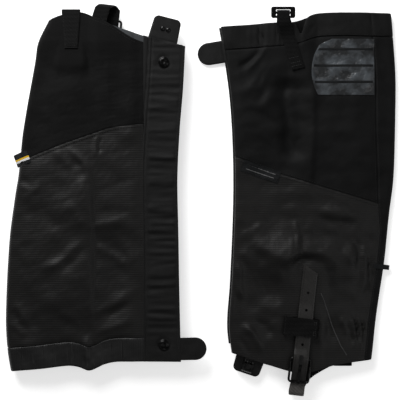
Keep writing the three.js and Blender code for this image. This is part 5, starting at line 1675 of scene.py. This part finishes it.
def cinch_pieces(g):
    side = g.side
    to_world = local(g, g.cinch)
    body = f"{side}_cinch"
    flat = CINCH_ON_CLOTH
    centres = [(0, -20, flat), (0, -10, flat), (0, -6, flat + 0.6)]
    for turn in np.radians(np.linspace(150, -80, 12)):
        centres.append((0, CINCH_EYE * math.cos(turn), CINCH_EYE * math.sin(turn)))
    loop = strip_piece(to_world, f"{side}_cinch_loop", centres, [(CINCH_WEB / 2, 0, 0)] * len(centres),
                       CINCH_WEB_THICK, MATERIAL["webbing"], "shells", "webbing", 70, 9, 0.2)
    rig.replaces(loop, f"{side}_cinch_anchor")
    slot_half, low = CINCH_WEB / 2 + 1, -CINCH_BAR / 2
    first = CINCH_BAR / 2
    second = CINCH_FIRST + CINCH_BAR
    outlines = [rounded_rect(-CINCH_WIDTH / 2, low, CINCH_WIDTH / 2, low + CINCH_HEIGHT, 2.6, 7),
                rounded_rect(-slot_half, first, slot_half, CINCH_FIRST, 0.8, 4),
                rounded_rect(-slot_half, second, slot_half, second + CINCH_SLOT, 0.8, 4)]
    plate = plate_piece(to_world, f"{side}_cinch_plate", outlines, -CINCH_THICK / 2, CINCH_THICK / 2, 0.5,
                        MATERIAL["plastic"], body, "plastic")
    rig.replaces(plate, f"{side}_cinch_buckle")
    middle = CINCH_FIRST + CINCH_BAR + CINCH_SLOT / 2
    over = CINCH_EYE + CINCH_WEB_THICK + GAP
    points = [(0, middle, -2.6), (0, middle, -0.6), (0, middle, 1.6), (0, middle - 0.8, over - 0.6),
              (0, middle - 2.4, over), (0, 3, over), (0, 0, over), (2, -8, over - 1), (4, -16, 0.2), (6, -24, flat + 0.6),
              (10, -34, flat), (14, -48, flat), (19, 8 - CINCH_TAIL, flat)]
    halves = []
    for x, _, _ in points:
        v = np.array([1.0, 0.25 if x > 0 else 0.0, 0.0])
        halves.append(tuple(v / np.linalg.norm(v) * CINCH_WEB / 2))
    tail = strip_piece(to_world, f"{side}_cinch_webbing", points, halves, CINCH_WEB_THICK, MATERIAL["webbing"], body,
                       "webbing", 120, 9, 0.2)
    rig.replaces(tail, f"{side}_cinch_tail")
    top = flat + CINCH_WEB_THICK / 2
    lines = []
    for back in (4, 8, 14):
        y = 8 - CINCH_TAIL + back
        x = 19 - back * 0.36
        lines.append(([(x - 7, y - 1.7, top), (x + 7, y + 1.7, top)], (0, 0, 1)))
    stitches(to_world, f"{side}_cinch_stitches", lines, MATERIAL["thread_light"], body, "webbing", pitch=2.6, length=1.9)


# ---- Patch, labels and seam stitching ----
def patch_piece(g, name, face, outline_x, outline_y, lift, material, slot, rows=40, cols=40, thick=0.4):
    """Thin piece sewn on the cloth: outline_x(t, s) and outline_y(t, s) map a unit square onto it."""
    t, s = np.meshgrid(np.linspace(0, 1, rows), np.linspace(0, 1, cols), indexing="ij")
    x, y = outline_x(t, s), outline_y(t, s)
    if face == "outer":
        grid = np.stack([x, y, g.outer_z(x, y) + lift + thick], -1)
        outward = (0, 0, 1)
    else:
        grid = np.stack([x, y, g.inner_z(x, y) - lift - thick], -1)
        outward = (0, 0, -1)
    out, inn = thick_skins(grid, thick + lift * 0.9, np.array(outward, float), 0.1)
    verts, faces = solid_from_skins(g.world(out), g.world(inn))
    return add_piece(name, verts, faces, MATERIAL[material], "shells", slot)


def details_left():
    g = GAITERS["left"]
    # reflective patch beside the back strip, its front end rounded
    low, high, right = 346.5, 416.5, 180.5

    def px(t, s):
        y = mix(low, high, t)
        bulge = 34.0 * np.sqrt(np.maximum(0, 1 - ((y - (low + 30)) / 46.0) ** 2))
        left = np.maximum(136.0 - bulge, 100.0) + 8 * smooth(y, high - 8, high)
        return mix(left, right, s)

    patch_piece(g, "left_reflective_patch", "outer", px, lambda t, s: mix(low, high, t) + 0 * s, 0.25, "reflective",
                "softshell", 60, 60)
    # plain bars across it, a generic pattern
    for i, y0 in enumerate((361.0, 381.5, 402.0)):
        patch_piece(g, f"left_patch_bar_{i}", "outer",
                    lambda t, s: px((y0 - low + 3 * t) / (high - low), 0.03 + 0.95 * s),
                    lambda t, s: y0 + 3.0 * t + 0 * s, 0.68, "label", "softshell", 4, 50, 0.25)
    label_at(g, "left_front_label", "outer", (38.3, 250.5), 49, 15, -18.7)
    edge_label(g, "left_side_label", 131.0, 7.0)
    # light piping along the dart at the ankle
    dart = np.array([(113.4, 98.8), (117.9, 87.5), (123.3, 71), (127.6, 57.9), (131.3, 48.8), (138.4, 32.5),
                     (145.5, 21.3)])
    at = np.linspace(0, 1, 90)
    own = np.linspace(0, 1, len(dart))
    x, y = np.interp(at, own, dart[:, 0]), np.interp(at, own, dart[:, 1])
    tube_piece(g.world, "left_dart_piping", np.stack([x, y, g.outer_z(x, y) + 0.3], -1), 0.75,
               MATERIAL["thread_light"], "shells", "ripstop")


LABEL_STRIPES = ((0.28, 0.38), (0.62, 0.72))  # two equal plain stripes, as shares of the label's height
LABEL_STRIPE_ENDS = (0.08, 0.92)


def label_at(g, name, face, centre, width, height, turn):
    """Flat sewn label with plain stripes, its stitches round the edge."""
    c, s = math.cos(math.radians(turn)), math.sin(math.radians(turn))

    def px(t, u):
        return centre[0] + (u - 0.5) * width * c - (t - 0.5) * height * s

    def py(t, u):
        return centre[1] + (u - 0.5) * width * s + (t - 0.5) * height * c

    patch_piece(g, name, face, px, py, 0.35, "label", "softshell", 14, 30, 0.5)
    near, far = LABEL_STRIPE_ENDS
    for i, (low, high) in enumerate(LABEL_STRIPES):
        patch_piece(g, f"{name}_bar_{i}", face, lambda t, u: px(mix(low, high, t), mix(near, far, u)),
                    lambda t, u: py(mix(low, high, t), mix(near, far, u)), 0.62, "label_pale", "softshell", 4, 16, 0.25)
    inset = 0.04
    x = np.array([px(t, u) for t, u in
                  ((0.12, inset), (0.12, 1 - inset), (0.88, 1 - inset), (0.88, inset), (0.12, inset))])
    y = np.array([py(t, u) for t, u in
                  ((0.12, inset), (0.12, 1 - inset), (0.88, 1 - inset), (0.88, inset), (0.12, inset))])
    at, own = np.linspace(0, 4, 120), np.arange(5)
    x, y = np.interp(at, own, x), np.interp(at, own, y)
    stitches(g.world, f"{name}_stitches", [(np.stack([x, y, g.outer_z(x, y) + 0.9], -1), (0, 0, 1))],
             MATERIAL["thread"], "shells", "softshell", pitch=2.4, length=1.7, radius=0.2)


def edge_label(g, name, height, reach, stripes=False):
    """Short folded label caught in the back seam, standing out past the back edge."""
    edge = float(g.back(height))
    rim = edge - BACK_FOLD
    z_mid = (float(g.inner_z(rim, height)) + float(g.outer_z(rim, height))) / 2
    tilt = math.radians(20 if stripes else -8)
    out_dir = np.array([math.cos(tilt), math.sin(tilt), 0.0])
    up_dir = np.array([-math.sin(tilt), math.cos(tilt), 0.0])
    top = -1 if g.side == "right" else 1
    z_top = (float(g.inner_z(rim - 4, height)) - 0.8 if g.side == "right"
             else float(g.outer_z(rim - 4, height)) + 0.8)
    origin = np.array([edge, height, 0.0])
    side_profile = [(-13.0, z_top), (-8.0, z_top - 0.1 * top), (-3.0, mix(z_top, z_mid, 0.25)),
                    (reach * 0.6, mix(z_top, z_mid, 0.8)),
                    (reach, z_mid), (reach * 0.7, z_mid - 0.7 * top), (0.0, z_mid - 0.7 * top)]
    centres = [origin + out_dir * a + np.array([0, 0, z]) for a, z in side_profile]
    half = 8.0 if stripes else 3.0
    if not stripes:
        strip_piece(g.world, name, centres, [up_dir * half] * len(centres), 0.5, MATERIAL["label"], "shells",
                    "softshell", 40, 9, 0.08)
        return
    bands = [("dark", -8.0, -1.2, "label"), ("yellow", -1.2, 1.0, "label_yellow"), ("white", 1.0, 3.6, "label_white"),
             ("end", 3.6, 8.0, "label")]
    for band, low, high, material in bands:
        shift = up_dir * (low + high) / 2
        strip_piece(g.world, f"{name}_{band}", [c + shift for c in centres], [up_dir * (high - low) / 2] * len(centres),
                    0.5, MATERIAL[material], "shells", "softshell", 40, 4, 0.05)


def seam_stitching(g):
    """Rows of topstitching beside the panel seams, the back strip and the hem."""
    lines = []

    def on(face, x, y):
        z = g.outer_z(x, y) if face == "outer" else g.inner_z(x, y)
        lines.append((np.stack([x, y, z], -1), (0, 0, 1) if face == "outer" else (0, 0, -1)))

    y_mid = LENGTH / 2
    xs = np.linspace(float(g.front_rim(y_mid)) + 2, float(g.back(y_mid) - g.strip(y_mid)) - 1, 200)
    on("outer", xs, g.outer_seam(xs) - 2.6)
    on("outer", xs, g.outer_seam(xs) + 2.4)
    xs = np.linspace(FLAP_REACH + 3, float(g.back_rim(150)) - 1, 200)
    on("inner", xs, g.inner_seam(xs) + 2.6)
    for face, start in (("outer", 8.0), ("inner", FLAP_REACH + 3)):
        xs = np.linspace(start + float(g.front(400)) * (face == "outer"), float(g.back_rim(420)) - 1, 200)
        on(face, xs, g.hem_edge(xs) + 1.8)
    ys = np.linspace(float(g.foot(180)) + 4, float(g.hem_edge(180)) - 3, 300)
    on("outer", g.back(ys) - g.strip(ys) + 1.8, ys)
    on("outer", g.back(ys) - g.strip(ys) - 2.4, ys)
    for face, low, high in (("outer", 12.0, 160.0), ("inner", 62.0, 125.0)):
        xs = np.linspace(low, high, 160)
        cut = near_cut(g, xs) if face == "inner" else 0
        on(face, xs, g.foot(xs) + cut + 4.0)
    stitches(g.world, f"{g.side}_topstitching", lines, MATERIAL["thread"], "shells", "softshell")


# ---- Stage ----
def stage():
    mesh = bpy.data.meshes.new("floor")
    r = 6.0
    mesh.from_pydata([(-r, -r, -0.0002), (r, -r, -0.0002), (r, r, -0.0002), (-r, r, -0.0002)], [], [(0, 1, 2, 3)])
    floor = bpy.data.objects.new("floor", mesh)
    bpy.context.scene.collection.objects.link(floor)
    m = bpy.data.materials.new("Floor")
    m.use_nodes = True
    shader = m.node_tree.nodes["Principled BSDF"]
    shader.inputs["Base Color"].default_value = (0.9, 0.9, 0.9, 1)
    shader.inputs["Roughness"].default_value = 0.9
    shader.inputs["Specular IOR Level"].default_value = 0.1
    shader.inputs["Emission Color"].default_value = (1, 1, 1, 1)
    shader.inputs["Emission Strength"].default_value = 0.55
    floor.data.materials.append(m)
    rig.stage(floor)


def aim(obj, target):
    direction = Vector(target) - obj.location
    obj.rotation_euler = direction.to_track_quat("-Z", "Y").to_euler()


def light(name, location, size, energy, target=(0, 0, 0)):
    data = bpy.data.lights.new(name, "AREA")
    data.shape, data.size, data.energy = "SQUARE", size, energy
    obj = bpy.data.objects.new(name, data)
    bpy.context.scene.collection.objects.link(obj)
    obj.location = location
    aim(obj, target)


CAMERA_CENTRE = (-0.00146, 0.00078)  # the middle of the view, beside the middle of the pair
VIEW_WIDTH = 0.5


def camera():
    data = bpy.data.cameras.new("camera")
    data.lens, data.sensor_width = 100, 36
    data.clip_end = 100
    obj = bpy.data.objects.new("camera", data)
    bpy.context.scene.collection.objects.link(obj)
    distance = VIEW_WIDTH * data.lens / data.sensor_width
    obj.location = (*CAMERA_CENTRE, 0.012 + distance)
    obj.rotation_euler = (0, 0, 0)
    bpy.context.scene.camera = obj


def lights():
    world = bpy.data.worlds.new("studio")
    bpy.context.scene.world = world
    world.use_nodes = True
    background = world.node_tree.nodes["Background"]
    background.inputs["Color"].default_value = (1, 1, 1, 1)
    background.inputs["Strength"].default_value = 0.2
    light("key", (-0.6, 1.2, 0.78), 0.9, 30)
    light("fill", (1.0, -0.3, 1.1), 0.9, 3)


bpy.context.scene.view_settings.view_transform = "Standard"
camera()
lights()
stage()
for gaiter in GAITERS.values():
    leg_tube(gaiter)
    front_closure(gaiter)
    strap_pieces(gaiter)
    cinch_pieces(gaiter)
    seam_stitching(gaiter)
details_left()
edge_label(GAITERS["right"], "right_side_label", 175.0, 6.0, True)

with open("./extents.json", "w") as out_file:
    json.dump([[list(v) for v in CAD_BOX], [list(v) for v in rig.bounds()]], out_file)
